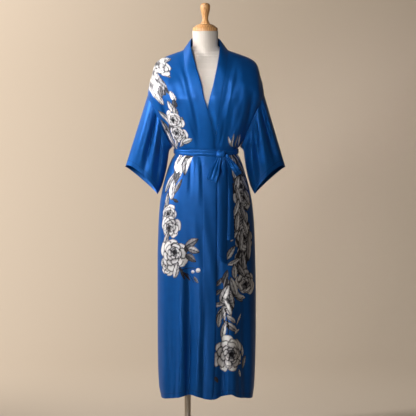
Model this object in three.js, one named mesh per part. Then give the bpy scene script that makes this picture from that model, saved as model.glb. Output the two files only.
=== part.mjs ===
// A long satin wrap robe with wide elbow sleeves, a folded neckband and a sash tied in a bow,
// worn on a smooth limbless dress form with a turned wooden cap, a steel pole and a round base.
// Millimetres, +Z up. The front faces -Y and +X is the wearer's left, so the wearer's right is at -X.
// The origin is the middle of the base's underside.
// Every piece of cloth is a wall about a grid of middle points: half of it lies on each side.

import * as THREE from "three";

// Driving dimensions
const CLOTH = 2; // wall of a single panel with its folded edges
const BAND = 2.4; // neckband and sash, folded double
const SEAM_GAP = 0.3; // between two pieces at a seam
const UNDERARM_Z = 1128;
const SHOULDER_END_Z = 1327; // where the shoulder seam meets the sleeve seam
const WAIST_Z = 1108;
const NECK_SIDE_Z = 1502; // where front, back and neckband meet beside the neck
const COLLAR_LIFT = 41; // how far the neckband stands up from there
const COLLAR_START_Z = 1380; // where a front's band begins to stand up
const COLLAR_STEP = 0.75; // the band behind the neck starts this much over the neckline
const COLLAR_EDGE = { halfX: 55.5, y: 59, rise: 6 }; // free edge of the band round the neck
const NECK_SIDE_X = 84;
const BACK_MIDDLE = { halfX: 46, startZ: 1100 }; // the back's middle columns widen from here up
const LEFT_SCALE = 1.025; // the wearer's left shoulder reaches a little further out
const SHOULDER_ROLL = 120; // drop below the shoulder line over which the depth fills out
const BACK_NECK_RISE = 5; // the back neckline is this much higher in the middle
const LAP_INSET = 5.5; // the under front lies this far behind the upper one
const LAP_BLEND = 28; // and comes forward again over this width
const HEM_FADE = 500; // height over which the waves of the hem fade out
const SIDE_COLUMNS = 12; // columns of a front, from its side seam to its band
const NECK_COLUMNS = 8; // columns of the back under the neckline
const BAND_COLUMNS = 3;
const YOKE_ROWS = 12; // rows from the underarm to the shoulder line
const YOKE_SPREAD = 1.7; // above 1 they lie closer together towards the shoulder
const SIDE_SPREAD = 1.5; // above 1 the columns lie closer together towards the side seam
const SLEEVE_RINGS = 8;

// Body of the robe by height: half widths to each side of the middle, and depths to front and back.
// Above the underarm the half widths are those of the curve that the depth falls away along.
const BODY = [
  { z: 147, right: 172, left: 185, front: 150, back: 141 },
  { z: 195, right: 181, left: 191, front: 150, back: 141 },
  { z: 290, right: 185, left: 195, front: 148, back: 140 },
  { z: 420, right: 186, left: 197, front: 145, back: 139 },
  { z: 560, right: 186, left: 197, front: 141, back: 137 },
  { z: 680, right: 186, left: 195, front: 138, back: 136 },
  { z: 800, right: 183, left: 191, front: 134, back: 134 },
  { z: 900, right: 177, left: 183, front: 130, back: 130 },
  { z: 972, right: 164, left: 169, front: 123, back: 123 },
  { z: 1025, right: 150, left: 154, front: 115, back: 111 },
  { z: 1063, right: 137, left: 142, front: 107, back: 100 },
  { z: 1084, right: 127, left: 133, front: 101, back: 91 },
  { z: 1097, right: 119, left: 125, front: 98, back: 86 },
  { z: 1119, right: 119, left: 125, front: 98, back: 86 },
  { z: 1128, right: 125, left: 133, front: 100, back: 87 },
  { z: 1150, right: 145, left: 151, front: 104, back: 90 },
  { z: 1200, right: 171, left: 176, front: 115, back: 98 },
  { z: 1250, right: 195, left: 200, front: 124, back: 106 },
  { z: 1310, right: 224, left: 229, front: 129, back: 113 },
  { z: 1350, right: 238, left: 243, front: 124, back: 114 },
  { z: 1400, right: 245, left: 250, front: 112, back: 110 },
  { z: 1440, right: 248, left: 253, front: 99, back: 103 },
  { z: 1470, right: 250, left: 255, front: 86, back: 94 },
  { z: 1502, right: 250, left: 255, front: 76, back: 80 },
  { z: 1560, right: 250, left: 255, front: 66, back: 68 },
];
const SECTION_POWER = 2.35; // 2 is an ellipse, more is squarer
const CHEST = { power: 2.9, fromZ: 1140, rise: 90, toZ: 1360, fall: 110 }; // where the section is flatter

// Sleeve seam: how far out it lies at each height.
const ARMHOLE = [
  { z: 1128, right: 125, left: 133 },
  { z: 1150, right: 141, left: 147 },
  { z: 1200, right: 162, left: 167 },
  { z: 1250, right: 184, left: 189 },
  { z: 1300, right: 209, left: 214 },
  { z: 1327, right: 223, left: 228.6 },
];

// Shoulder line, seen from the front: height at each distance from the middle.
const SHOULDER = [
  { x: 0, z: 1556 },
  { x: 30, z: 1553 },
  { x: 54, z: 1543 },
  { x: 84, z: 1502 },
  { x: 112, z: 1491 },
  { x: 141, z: 1480.5 },
  { x: 171, z: 1467.5 },
  { x: 189, z: 1454 },
  { x: 199, z: 1437 },
  { x: 208, z: 1401 },
  { x: 216, z: 1374 },
  { x: 223, z: 1327 },
  { x: 260, z: 1100 },
];

// Neckband edges by height. The upper front is the wearer's right one, the under front the left one.
const FRONT_EDGES = [
  { z: 147, upperSeam: -24, upperEdge: 25, underSeam: 10, underEdge: -38 },
  { z: 220, upperSeam: -18, upperEdge: 32, underSeam: 13, underEdge: -36 },
  { z: 390, upperSeam: -13, upperEdge: 38, underSeam: 15, underEdge: -35 },
  { z: 560, upperSeam: -10, upperEdge: 42, underSeam: 15, underEdge: -35 },
  { z: 900, upperSeam: -9, upperEdge: 43, underSeam: 15, underEdge: -35 },
  { z: 1060, upperSeam: -9, upperEdge: 43, underSeam: 17, underEdge: -33 },
  { z: 1120, upperSeam: -12, upperEdge: 36, underSeam: 27, underEdge: -24 },
  { z: 1180, upperSeam: -18, upperEdge: 30, underSeam: 41, underEdge: -13 },
  { z: 1222, upperSeam: -27, upperEdge: 21, underSeam: 50, underEdge: -4 },
  { z: 1278, upperSeam: -40, upperEdge: 8, underSeam: 56, underEdge: 9 },
  { z: 1320, upperSeam: -48, upperEdge: -5, underSeam: 62, underEdge: 18 },
  { z: 1372, upperSeam: -60, upperEdge: -15, underSeam: 71, underEdge: 31 },
  { z: 1427, upperSeam: -73, upperEdge: -32, underSeam: 80, underEdge: 43 },
  { z: 1466, upperSeam: -80, upperEdge: -43, underSeam: 84, underEdge: 50 },
  { z: 1502, upperSeam: -84, upperEdge: -53, underSeam: 86, underEdge: 55 },
  { z: 1522, upperSeam: -84, upperEdge: -57, underSeam: 86, underEdge: 57 },
  { z: 1543, upperSeam: -84, upperEdge: -55.5, underSeam: 86, underEdge: 55.5 },
];

// Hem: how far it hangs below or above the lowest row of the body.
const HEM = [
  { x: -172, front: 0, back: 0 },
  { x: -140, front: 6, back: 3 },
  { x: -110, front: 13, back: 8 },
  { x: -55, front: 26, back: 3 },
  { x: -20, front: 17, back: 9 },
  { x: 0, front: 11, back: 12 },
  { x: 30, front: 8, back: 6 },
  { x: 62, front: 19, back: 2 },
  { x: 98, front: 27, back: 9 },
  { x: 130, front: 12, back: 13 },
  { x: 165, front: 4, back: 5 },
  { x: 185, front: 0, back: 0 },
];

// Long folds that open towards the hem: a ridge has a positive depth and a valley a negative one.
const SKIRT_FOLDS = [
  { face: "front", topX: -146, topZ: 1010, footX: -166, width: 15, depth: 7 },
  { face: "front", topX: -122, topZ: 900, footX: -136, width: 14, depth: -8 },
  { face: "front", topX: -90, topZ: 1000, footX: -102, width: 16, depth: 11 },
  { face: "front", topX: -52, topZ: 960, footX: -66, width: 17, depth: -17 },
  { face: "front", topX: -22, topZ: 800, footX: -30, width: 12, depth: 6 },
  { face: "front", topX: 60, topZ: 700, footX: 64, width: 15, depth: -13 },
  { face: "front", topX: 100, topZ: 980, footX: 112, width: 18, depth: 11 },
  { face: "front", topX: 140, topZ: 760, footX: 157, width: 18, depth: -20 },
  { face: "back", topX: -128, topZ: 980, footX: -142, width: 18, depth: 8 },
  { face: "back", topX: -92, topZ: 900, footX: -104, width: 16, depth: -12 },
  { face: "back", topX: -52, topZ: 1010, footX: -60, width: 18, depth: 10 },
  { face: "back", topX: -10, topZ: 940, footX: -16, width: 17, depth: -14 },
  { face: "back", topX: 30, topZ: 860, footX: 34, width: 16, depth: 9 },
  { face: "back", topX: 74, topZ: 1000, footX: 86, width: 18, depth: -13 },
  { face: "back", topX: 118, topZ: 900, footX: 132, width: 17, depth: 9 },
];

// Short gathers that run up and down from the sash, and the creases of the bodice.
const SHORT_FOLDS = [
  { face: "front", fromX: -84, fromZ: 1090, toX: -96, toZ: 980, width: 9, depth: 4 },
  { face: "front", fromX: -58, fromZ: 1090, toX: -64, toZ: 930, width: 9, depth: -5 },
  { face: "front", fromX: -30, fromZ: 1090, toX: -30, toZ: 900, width: 9, depth: 4 },
  { face: "front", fromX: 84, fromZ: 1088, toX: 98, toZ: 960, width: 9, depth: -4 },
  { face: "front", fromX: 106, fromZ: 1088, toX: 122, toZ: 1000, width: 8, depth: 4 },
  { face: "front", fromX: -52, fromZ: 1128, toX: -112, toZ: 1250, width: 12, depth: -3.5 },
  { face: "front", fromX: -82, fromZ: 1130, toX: -132, toZ: 1215, width: 11, depth: 3 },
  { face: "front", fromX: 70, fromZ: 1128, toX: 108, toZ: 1300, width: 12, depth: -3.5 },
  { face: "front", fromX: 92, fromZ: 1128, toX: 140, toZ: 1250, width: 11, depth: 3 },
  { face: "front", fromX: -136, fromZ: 1126, toX: -178, toZ: 1350, width: 12, depth: -20 },
  { face: "front", fromX: 142, fromZ: 1126, toX: 184, toZ: 1350, width: 12, depth: -20 },
  { face: "back", fromX: -70, fromZ: 1090, toX: -84, toZ: 960, width: 10, depth: -4 },
  { face: "back", fromX: -20, fromZ: 1090, toX: -24, toZ: 980, width: 10, depth: 4 },
  { face: "back", fromX: 34, fromZ: 1090, toX: 40, toZ: 940, width: 10, depth: -5 },
  { face: "back", fromX: 76, fromZ: 1090, toX: 90, toZ: 980, width: 9, depth: 4 },
  { face: "back", fromX: -40, fromZ: 1136, toX: -96, toZ: 1290, width: 13, depth: -5 },
  { face: "back", fromX: 46, fromZ: 1136, toX: 100, toZ: 1270, width: 13, depth: -5 },
  { face: "back", fromX: 4, fromZ: 1136, toX: 8, toZ: 1300, width: 13, depth: 4 },
];

// Sleeves: cuff corners seen from the front, cuff half depth, and how far the cuff's edges rise.
const SLEEVES = [
  { name: "right_sleeve", side: "right", outerX: -311, innerX: -187, halfDepth: 44 },
  { name: "left_sleeve", side: "left", outerX: 311, innerX: 194, halfDepth: 44 },
];
const CUFF_OUTER_Z = 1046;
const CUFF_INNER_Z = 942;
const CUFF_FRONT_RISE = 32;
const CUFF_BACK_RISE = 4;
const CUFF_SQUARENESS = 0.75; // below 1 flattens the front and the back of a sleeve
const CUFF_SWEEP = 16; // how far a sleeve's outer edge lies behind its inner one
const SLEEVE_FILL = 0.12; // how much deeper the sleeve is half way down
const SLEEVE_SEAM_STEP = 1.05; // step off the sleeve seam, and more to the side at the underarm
const UNDERARM_STEP = 2.1;
// How far a sleeve's lower edge bows towards the body on its way down.
const SLEEVE_EDGE = [
  { down: 0, shift: 0 },
  { down: 0.08, shift: -8 },
  { down: 0.25, shift: -3 },
  { down: 0.5, shift: 4 },
  { down: 0.8, shift: 7 },
  { down: 0.93, shift: 4 },
  { down: 1, shift: 0 },
];
const SLEEVE_FOLDS = [
  { side: "right", angle: 60, width: 16, depth: 6, peak: 0.5 },
  { side: "right", angle: 97, width: 12, depth: -14, peak: 0.35 },
  { side: "right", angle: 117, width: 12, depth: 6, peak: 0.4 },
  { side: "right", angle: 143, width: 13, depth: -12, peak: 0.3 },
  { side: "right", angle: 238, width: 16, depth: -8, peak: 0.45 },
  { side: "right", angle: 290, width: 16, depth: -9, peak: 0.35 },
  { side: "left", angle: 62, width: 14, depth: -14, peak: 0.3 },
  { side: "left", angle: 92, width: 12, depth: 8, peak: 0.4 },
  { side: "left", angle: 122, width: 13, depth: -11, peak: 0.55 },
  { side: "left", angle: 238, width: 16, depth: -8, peak: 0.45 },
  { side: "left", angle: 290, width: 16, depth: -9, peak: 0.35 },
];

// Sash round the waist, by its distance from the middle: height of its centre line, and its width.
const SASH_FRONT = [
  { x: -119, z: 1109.5, height: 18 },
  { x: -80, z: 1110, height: 26 },
  { x: -40, z: 1110, height: 30 },
  { x: 18, z: 1106, height: 24 },
  { x: 61, z: 1104, height: 20 },
  { x: 100, z: 1107, height: 18 },
  { x: 125, z: 1109.5, height: 18 },
];
const SASH_BACK = [
  { x: -119, z: 1109.5, height: 18 },
  { x: -70, z: 1110, height: 30 },
  { x: 0, z: 1109, height: 33 },
  { x: 75, z: 1110, height: 30 },
  { x: 125, z: 1109.5, height: 18 },
];
const SASH_COLUMNS = 44;
const SASH_OFFSET = 3.4; // from the middle of the panels to the middle of the sash

const KNOT = { x: 61, z: 1103, width: 34, height: 26, depth: 17, squareness: 0.8 };
const KNOT_SEAT = 2; // how far the knot sits back into the hollow of the sash
const LOOPS = [
  { name: "bow_loop_right", topX: 54, topZ: 1090, footX: 25, footZ: 1001, top: 15, foot: 35,
    gap: 21, stand: 4, forward: 5 },
  { name: "bow_loop_left", topX: 80.8, topZ: 1099, footX: 128, footZ: 1022, top: 10, foot: 22,
    gap: 20, stand: 9.5, forward: 4.5 },
];
const STRIP_SIDES = [-1, -0.33, 0.33, 1]; // places across a loop or a tail
const LOOP_STEPS = 20;
const TAILS = [
  {
    name: "belt_tail_front",
    forward: -3.6,
    slant: -20,
    shape: [
      { z: 690, x: 63.5, width: 37 },
      { z: 900, x: 64, width: 36 },
      { z: 1050, x: 63.5, width: 33 },
      { z: 1089.9, x: 62.5, width: 20 },
    ],
  },
  {
    name: "belt_tail_back",
    forward: -5,
    slant: 2,
    shape: [
      { z: 773, x: 98, width: 28 },
      { z: 938, x: 97, width: 18 },
      { z: 1045, x: 93, width: 13 },
      { z: 1091, x: 77, width: 8 },
    ],
  },
];
const TAIL_STAND = 3.2; // clear space between the skirt and a tail
const TAIL_ROWS = 11;

// Dress form by height: half width, depths, and how square its section is.
const FORM = [
  { z: 1575, half: 50, front: 50, back: 51, power: 2 },
  { z: 1545, half: 49.5, front: 49, back: 52, power: 2 },
  { z: 1518, half: 50.5, front: 49, back: 54, power: 2 },
  { z: 1502, half: 62, front: 50, back: 57, power: 1.8 },
  { z: 1489, half: 109, front: 51, back: 61, power: 1.45 },
  { z: 1478, half: 140, front: 55, back: 66, power: 1.5 },
  { z: 1465.5, half: 169, front: 64, back: 73, power: 1.6 },
  { z: 1451, half: 183, front: 76, back: 84, power: 1.8 },
  { z: 1430, half: 187, front: 90, back: 95, power: 2.05 },
  { z: 1400, half: 187, front: 103, back: 102, power: 2.2 },
  { z: 1350, half: 181, front: 115, back: 105, power: 2.3 },
  { z: 1305, half: 168, front: 119, back: 103, power: 2.3 },
  { z: 1250, half: 150, front: 114, back: 96, power: 2.3 },
  { z: 1200, half: 135, front: 105, back: 88, power: 2.3 },
  { z: 1150, half: 120, front: 95, back: 80, power: 2.3 },
  { z: 1108, half: 112, front: 89, back: 77, power: 2.3 },
  { z: 1063, half: 124, front: 97, back: 88, power: 2.3 },
  { z: 1000, half: 145, front: 108, back: 106, power: 2.3 },
  { z: 938, half: 160, front: 114, back: 116, power: 2.3 },
  { z: 870, half: 166, front: 117, back: 121, power: 2.3 },
  { z: 812, half: 165, front: 116, back: 119, power: 2.3 },
  { z: 797, half: 158, front: 110, back: 112, power: 2.3 },
];
const FORM_COLUMNS = 36;

// Stand
const POLE_X = -69;
const POLE_RADIUS = 12.5;
const BASE_RADIUS = 190;
const BASE_HEIGHT = 9;
const SOCKET_RADIUS = 21;
const SOCKET_HEIGHT = 26;
const COLLAR_RADIUS = 32;
const COLLAR_HEIGHT = 12;
const ROUND_STEPS = 40;
const TOUCH_GAP = 0.3; // between hard pieces that rest on each other

// Turned wooden cap and its knob: radius at each height over the top of the neck.
const CAP_PROFILE = [
  { radius: 47, rise: 0 },
  { radius: 48.5, rise: 3 },
  { radius: 48.5, rise: 9 },
  { radius: 46, rise: 13.5 },
  { radius: 39, rise: 17.5 },
  { radius: 37.5, rise: 20.5 },
  { radius: 28, rise: 25 },
  { radius: 18.5, rise: 28 },
];
const KNOB_PROFILE = [
  { radius: 17.5, rise: 28.3 },
  { radius: 17.2, rise: 31 },
  { radius: 13.4, rise: 36 },
  { radius: 11, rise: 45 },
  { radius: 11.6, rise: 54 },
  { radius: 14.2, rise: 66 },
  { radius: 17.6, rise: 80 },
  { radius: 19, rise: 92 },
  { radius: 18.4, rise: 100 },
  { radius: 14, rise: 106 },
  { radius: 7, rise: 108.6 },
];

// Materials, by what each piece is made of
const SATIN = { color: 0x1d56a3, roughness: 0.38, metalness: 0.15 };
const FORM_SHELL = { color: 0xe7dfd5, roughness: 0.6, metalness: 0 };
const TURNED_WOOD = { color: 0xd09a63, roughness: 0.5, metalness: 0 };
const POLISHED_STEEL = { color: 0xb9b4ac, roughness: 0.22, metalness: 1 };

// Smooth steps and tables
const clamp01 = (value) => Math.min(1, Math.max(0, value));
const mix = (from, to, share) => from + (to - from) * share;

function smooth(value) {
  const t = clamp01(value);
  return t * t * (3 - 2 * t);
}

// Value of one column of a table between its rows, on a smooth curve through them.
function lookUp(table, key, at, column) {
  const last = table.length - 1;
  if (at <= table[0][key]) return table[0][column];
  if (at >= table[last][key]) return table[last][column];
  let i = 0;
  while (table[i + 1][key] < at) i += 1;
  const slope = (a, b) =>
    (table[b][column] - table[a][column]) / (table[b][key] - table[a][key]);
  const step = table[i + 1][key] - table[i][key];
  const here = slope(i, i + 1);
  const start = i > 0 ? gentler(slope(i - 1, i), here) : here;
  const end = i + 1 < last ? gentler(here, slope(i + 1, i + 2)) : here;
  const t = (at - table[i][key]) / step;
  const curve =
    (t ** 3 - 2 * t * t + t) * start * step + (t ** 3 - t * t) * end * step;
  return mix(table[i][column], table[i + 1][column], t * t * (3 - 2 * t)) + curve;
}

// Slope at a row that never overshoots its neighbours.
function gentler(before, after) {
  return before * after <= 0 ? 0 : (2 * before * after) / (before + after);
}

const sideOf = (x) => (x < 0 ? "right" : "left");
const bump = (distance, width) => Math.exp(-((distance / width) ** 2));
const shoulderZ = (x) =>
  lookUp(SHOULDER, "x", Math.abs(x) / (x < 0 ? 1 : LEFT_SCALE), "z");

// How far the folds push one face of the robe out at a place.
function foldDepth(face, x, z) {
  let depth = 0;
  for (const fold of SKIRT_FOLDS) {
    const down = (fold.topZ - z) / (fold.topZ - BODY[0].z);
    if (fold.face !== face || down <= 0) continue;
    const middle = mix(fold.topX, fold.footX, down);
    depth += fold.depth * smooth(down * 1.15) * bump(x - middle, fold.width);
  }
  for (const fold of SHORT_FOLDS) {
    const along = (z - fold.fromZ) / (fold.toZ - fold.fromZ);
    if (fold.face !== face || along <= 0 || along >= 1) continue;
    const middle = mix(fold.fromX, fold.toX, along);
    depth += fold.depth * Math.sin(Math.PI * along) * bump(x - middle, fold.width);
  }
  return depth;
}

// How far one face of the robe lies from the middle plane, as a y value.
function faceY(face, x, z) {
  const half = lookUp(BODY, "z", z, sideOf(x));
  const across = clamp01(Math.abs(x) / half);
  const chest =
    smooth((z - CHEST.fromZ) / CHEST.rise) * (1 - smooth((z - CHEST.toZ) / CHEST.fall));
  const power = mix(SECTION_POWER, CHEST.power, chest);
  const rounded = (1 - across ** power) ** (1 / power);
  const drop = clamp01((shoulderZ(x) - z) / SHOULDER_ROLL);
  const roll = Math.sqrt(1 - (1 - drop) ** 2);
  const depth = lookUp(BODY, "z", z, face) * rounded * roll;
  const folded = depth + foldDepth(face, x, z) * (1 - across ** 6) * roll;
  return face === "front" ? -folded : folded;
}

// The under front lies behind the upper one as far as its edge.
function lapInset(x, z) {
  const edge = lookUp(FRONT_EDGES, "z", z, "upperEdge");
  return LAP_INSET * smooth((edge + LAP_BLEND - x) / LAP_BLEND);
}

// Rows that every panel shares, from the hem to the shoulder line.
function panelRows() {
  const skirt = BODY.filter((row) => row.z < UNDERARM_Z);
  const rows = skirt.map((row) => ({ outZ: row.z, inZ: row.z, yoke: 0 }));
  for (let k = 0; k <= YOKE_ROWS; k += 1) {
    const yoke = 1 - (1 - k / YOKE_ROWS) ** YOKE_SPREAD;
    rows.push({
      outZ: mix(UNDERARM_Z, SHOULDER_END_Z, yoke),
      inZ: mix(UNDERARM_Z, NECK_SIDE_Z, yoke),
      yoke,
    });
  }
  return rows;
}

const ROWS = panelRows();
const SKIRT_ROWS = ROWS.length - YOKE_ROWS - 1;
const TOP_ROW = ROWS.length - 1;

// Outer end of a row: on the side seam, or on the sleeve seam.
function outerX(side, row, index) {
  const sign = side === "right" ? -1 : 1;
  const table = index < SKIRT_ROWS ? BODY : ARMHOLE;
  return sign * lookUp(table, "z", row.outZ, side);
}

// A point of a panel, seen from the front: share runs from the outer end to innerX.
function panelPlace(side, face, index, share, innerX) {
  const row = ROWS[index];
  const out = outerX(side, row, index);
  const x = mix(out, innerX(row.inZ), share);
  const topOut = outerX(side, ROWS[TOP_ROW], TOP_ROW);
  const topX = mix(topOut, innerX(NECK_SIDE_Z), share);
  const topShare = (shoulderZ(topX) - SHOULDER_END_Z) / (NECK_SIDE_Z - SHOULDER_END_Z);
  const z = mix(row.outZ, row.inZ, mix(share, topShare, row.yoke ** 2));
  return { x, z: z + hemLift(face, x, row) };
}

// The hem's waves fade out over the lower rows.
const hemLift = (face, x, row) =>
  lookUp(HEM, "x", x, face) * (1 - smooth((row.outZ - BODY[0].z) / HEM_FADE));

const columnShare = (column) => (column / SIDE_COLUMNS) ** SIDE_SPREAD;

// Is this place of the grid on the side seam or on the shoulder seam, where front and back meet?
const meetsOtherFace = (index, column) =>
  index === TOP_ROW || (column === 0 && index <= SKIRT_ROWS);

// A front and its half of the neckband, worked out as one grid so that they share their seam.
function frontPieces(side) {
  const upper = side === "right";
  const seam = upper ? "upperSeam" : "underSeam";
  const edge = upper ? "upperEdge" : "underEdge";
  const innerX = (z) => lookUp(FRONT_EDGES, "z", z, seam);
  const points = ROWS.map((row, index) => {
    const places = [];
    for (let column = 0; column <= SIDE_COLUMNS; column += 1) {
      places.push(panelPlace(side, "front", index, columnShare(column), innerX));
    }
    const start = places[SIDE_COLUMNS];
    const risen = (row.inZ - COLLAR_START_Z) / (NECK_SIDE_Z - COLLAR_START_Z);
    const lift = COLLAR_LIFT * smooth(risen);
    const edgeX = lookUp(FRONT_EDGES, "z", row.inZ + lift, edge);
    for (let column = 1; column <= BAND_COLUMNS; column += 1) {
      const share = column / BAND_COLUMNS;
      const x = mix(start.x, edgeX, share);
      places.push({ x, z: row.inZ + lift * share + hemLift("front", x, row) });
    }
    return places.map(({ x, z }, column) => {
      const met = meetsOtherFace(index, column);
      const y = met ? -SEAM_GAP / 2 : faceY("front", x, z) + (upper ? 0 : lapInset(x, z));
      return new THREE.Vector3(x, y, z);
    });
  });
  const normals = gridNormals(points);
  levelNormals(normals, meetsOtherFace);
  const inward = ((upper ? 1 : -1) * SEAM_GAP) / 2;
  const cut = (grid, from, to) => grid.map((row) => row.slice(from, to).map((p) => p.clone()));
  const panel = cut(points, 0, SIDE_COLUMNS + 1);
  const band = cut(points, SIDE_COLUMNS, SIDE_COLUMNS + BAND_COLUMNS + 1);
  for (const row of panel) row[SIDE_COLUMNS].x -= inward;
  for (const row of band) row[0].x += inward;
  return {
    panel: { points: panel, normals: cut(normals, 0, SIDE_COLUMNS + 1) },
    band: { points: band, normals: cut(normals, SIDE_COLUMNS, SIDE_COLUMNS + BAND_COLUMNS + 1) },
  };
}

// Where front and back meet, the wall's thickness lies square to the seam.
function levelNormals(normals, isMet) {
  normals.forEach((row, i) =>
    row.forEach((normal, j) => {
      if (isMet(i, j)) normal.setY(0).normalize();
    }),
  );
}

// The back's middle columns lie between two lines that open from the hem to the neck.
const backInnerX = (sign) => (z) => {
  const neckX = NECK_SIDE_X * (sign > 0 ? LEFT_SCALE : 1);
  const up = (z - BACK_MIDDLE.startZ) / (NECK_SIDE_Z - BACK_MIDDLE.startZ);
  return sign * mix(BACK_MIDDLE.halfX, neckX, smooth(up));
};

const BACK_COLUMNS = 2 * SIDE_COLUMNS + NECK_COLUMNS;
const meetsFront = (index, column) =>
  (index === TOP_ROW && Math.abs(column - BACK_COLUMNS / 2) >= NECK_COLUMNS / 2) ||
  ((column === 0 || column === BACK_COLUMNS) && index <= SKIRT_ROWS);

function backGrid() {
  const right = backInnerX(-1);
  const left = backInnerX(1);
  return ROWS.map((row, index) => {
    const places = [];
    for (let column = 0; column <= SIDE_COLUMNS; column += 1) {
      places.push(panelPlace("right", "back", index, columnShare(column), right));
    }
    const start = places[SIDE_COLUMNS];
    for (let column = 1; column < NECK_COLUMNS; column += 1) {
      const across = Math.cos((Math.PI * column) / NECK_COLUMNS);
      const x = mix(right(row.inZ), left(row.inZ), (1 - across) / 2);
      const rise = BACK_NECK_RISE * (1 - across * across) * row.yoke ** 4;
      const wave = hemLift("back", x, row) - hemLift("back", start.x, row);
      places.push({ x, z: start.z + rise + wave });
    }
    for (let column = SIDE_COLUMNS; column >= 0; column -= 1) {
      places.push(panelPlace("left", "back", index, columnShare(column), left));
    }
    return places.map(({ x, z }, column) => {
      const y = meetsFront(index, column) ? SEAM_GAP / 2 : faceY("back", x, z);
      return new THREE.Vector3(x, y, z);
    });
  });
}

// The neckband behind the neck: from the back's neckline to a free edge close round the neck.
function backBandGrid(neckline) {
  const rows = [];
  for (let row = 0; row <= BAND_COLUMNS; row += 1) {
    const share = row / BAND_COLUMNS;
    rows.push(
      neckline.map((seam, i) => {
        const angle = (Math.PI * i) / NECK_COLUMNS;
        const atEnd = i === 0 || i === NECK_COLUMNS;
        const edge = new THREE.Vector3(
          -COLLAR_EDGE.halfX * Math.cos(angle),
          atEnd ? SEAM_GAP / 2 : COLLAR_EDGE.y * Math.sin(angle),
          NECK_SIDE_Z + COLLAR_LIFT + COLLAR_EDGE.rise * Math.sin(angle),
        );
        return seam.clone().lerp(edge, share);
      }),
    );
  }
  return rows;
}

// The back and the band behind the neck share the direction of their walls along the neckline.
function backPieces(rightCorner, leftCorner) {
  const points = backGrid();
  const normals = gridNormals(points);
  levelNormals(normals, meetsFront);
  const neck = (row) => row.slice(SIDE_COLUMNS, SIDE_COLUMNS + NECK_COLUMNS + 1);
  const band = backBandGrid(neck(points[TOP_ROW]));
  const joined = gridNormals([neck(points[TOP_ROW - 1]), ...band]);
  joined.shift();
  levelNormals(joined, (i, j) => j === 0 || j === NECK_COLUMNS);
  joined[0][0].copy(rightCorner);
  joined[0][NECK_COLUMNS].copy(leftCorner);
  joined[0].forEach((normal, j) => normals[TOP_ROW][SIDE_COLUMNS + j].copy(normal));
  const lifted = band.map((row, i) =>
    row.map((point) => point.clone().setZ(point.z + (i === 0 ? COLLAR_STEP : 0))),
  );
  return { panel: { points, normals }, band: { points: lifted, normals: joined } };
}

// A sleeve: rings from the sleeve seam, which it shares with the panels, to the cuff.
function sleevePiece(sleeve, front, back) {
  const sign = Math.sign(sleeve.outerX);
  const backColumn = sign < 0 ? 0 : BACK_COLUMNS;
  const seam = [];
  const take = (piece, k, column) =>
    seam.push({
      point: piece.points[SKIRT_ROWS + k][column],
      normal: piece.normals[SKIRT_ROWS + k][column],
    });
  for (let k = YOKE_ROWS; k >= 0; k -= 1) take(front, k, 0);
  for (let k = 1; k < YOKE_ROWS; k += 1) take(back, k, backColumn);
  const points = [];
  for (let ring = 0; ring <= SLEEVE_RINGS; ring += 1) {
    points.push(seam.map((start, j) => sleevePoint(sleeve, sign, start.point, j, ring)));
  }
  const normals = gridNormals(points, true);
  normals[0].forEach((normal, j) => {
    const lower = lowerShare((Math.PI * j) / YOKE_ROWS);
    const shared = seam[j].normal.clone();
    if (shared.dot(normal) < 0) shared.negate();
    normal.lerp(shared, 1 - smooth(lower * 2)).normalize();
  });
  return { points, normals, wraps: true };
}

// 0 along the top of a sleeve and 1 along its underarm.
const lowerShare = (angle) => ((1 - Math.cos(angle)) / 2) ** 4;

function sleevePoint(sleeve, sign, start, j, ring) {
  const down = ring / SLEEVE_RINGS;
  const angle = (Math.PI * j) / YOKE_ROWS;
  const around = Math.sin(angle);
  const rise = around > 0 ? CUFF_FRONT_RISE : CUFF_BACK_RISE;
  const outward = Math.cos(angle);
  const cuff = new THREE.Vector3(
    (sleeve.outerX + sleeve.innerX) / 2 + ((sleeve.outerX - sleeve.innerX) / 2) * outward,
    (CUFF_SWEEP / 2) * outward -
      sleeve.halfDepth * Math.sign(around) * Math.abs(around) ** CUFF_SQUARENESS,
    (CUFF_OUTER_Z + CUFF_INNER_Z) / 2 + ((CUFF_OUTER_Z - CUFF_INNER_Z) / 2) * outward,
  );
  cuff.z += rise * Math.abs(around);
  const lower = lowerShare(angle);
  const away = cuff.clone().sub(start).normalize();
  const point = start.clone().addScaledVector(away, SLEEVE_SEAM_STEP);
  point.x += sign * UNDERARM_STEP * lower;
  point.lerp(cuff, down);
  const middle = Math.sin(Math.PI * down);
  point.y *= 1 + SLEEVE_FILL * middle;
  point.x -= sign * lookUp(SLEEVE_EDGE, "down", down, "shift") * lower;
  for (const fold of SLEEVE_FOLDS) {
    if (fold.side !== sleeve.side) continue;
    const reach = Math.sin(Math.PI * down ** (Math.log(0.5) / Math.log(fold.peak)));
    const near = bump(THREE.MathUtils.radToDeg(angle) - fold.angle, fold.width);
    point.y -= Math.sign(around) * fold.depth * reach * near;
  }
  return point;
}

// The sash round the waist, laid on the panels' own surface and moved out.
function sashPiece() {
  const surface = [0, 0.5, 1].map((share) => {
    const row = [];
    for (let j = 0; j < SASH_COLUMNS; j += 1) {
      const angle = (2 * Math.PI * j) / SASH_COLUMNS;
      const face = angle < Math.PI ? "front" : "back";
      const table = face === "front" ? SASH_FRONT : SASH_BACK;
      const along = -Math.cos(angle);
      const half = lookUp(BODY, "z", WAIST_Z, sideOf(along));
      const z =
        lookUp(table, "x", along * half, "z") +
        (share - 0.5) * lookUp(table, "x", along * half, "height");
      const x = along * lookUp(BODY, "z", z, sideOf(along));
      row.push(new THREE.Vector3(x, faceY(face, x, z), z));
    }
    return row;
  });
  const normals = gridNormals(surface, true);
  const points = surface.map((row, i) =>
    row.map((point, j) => point.clone().addScaledVector(normals[i][j], SASH_OFFSET)),
  );
  return { points, normals, wraps: true };
}

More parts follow.
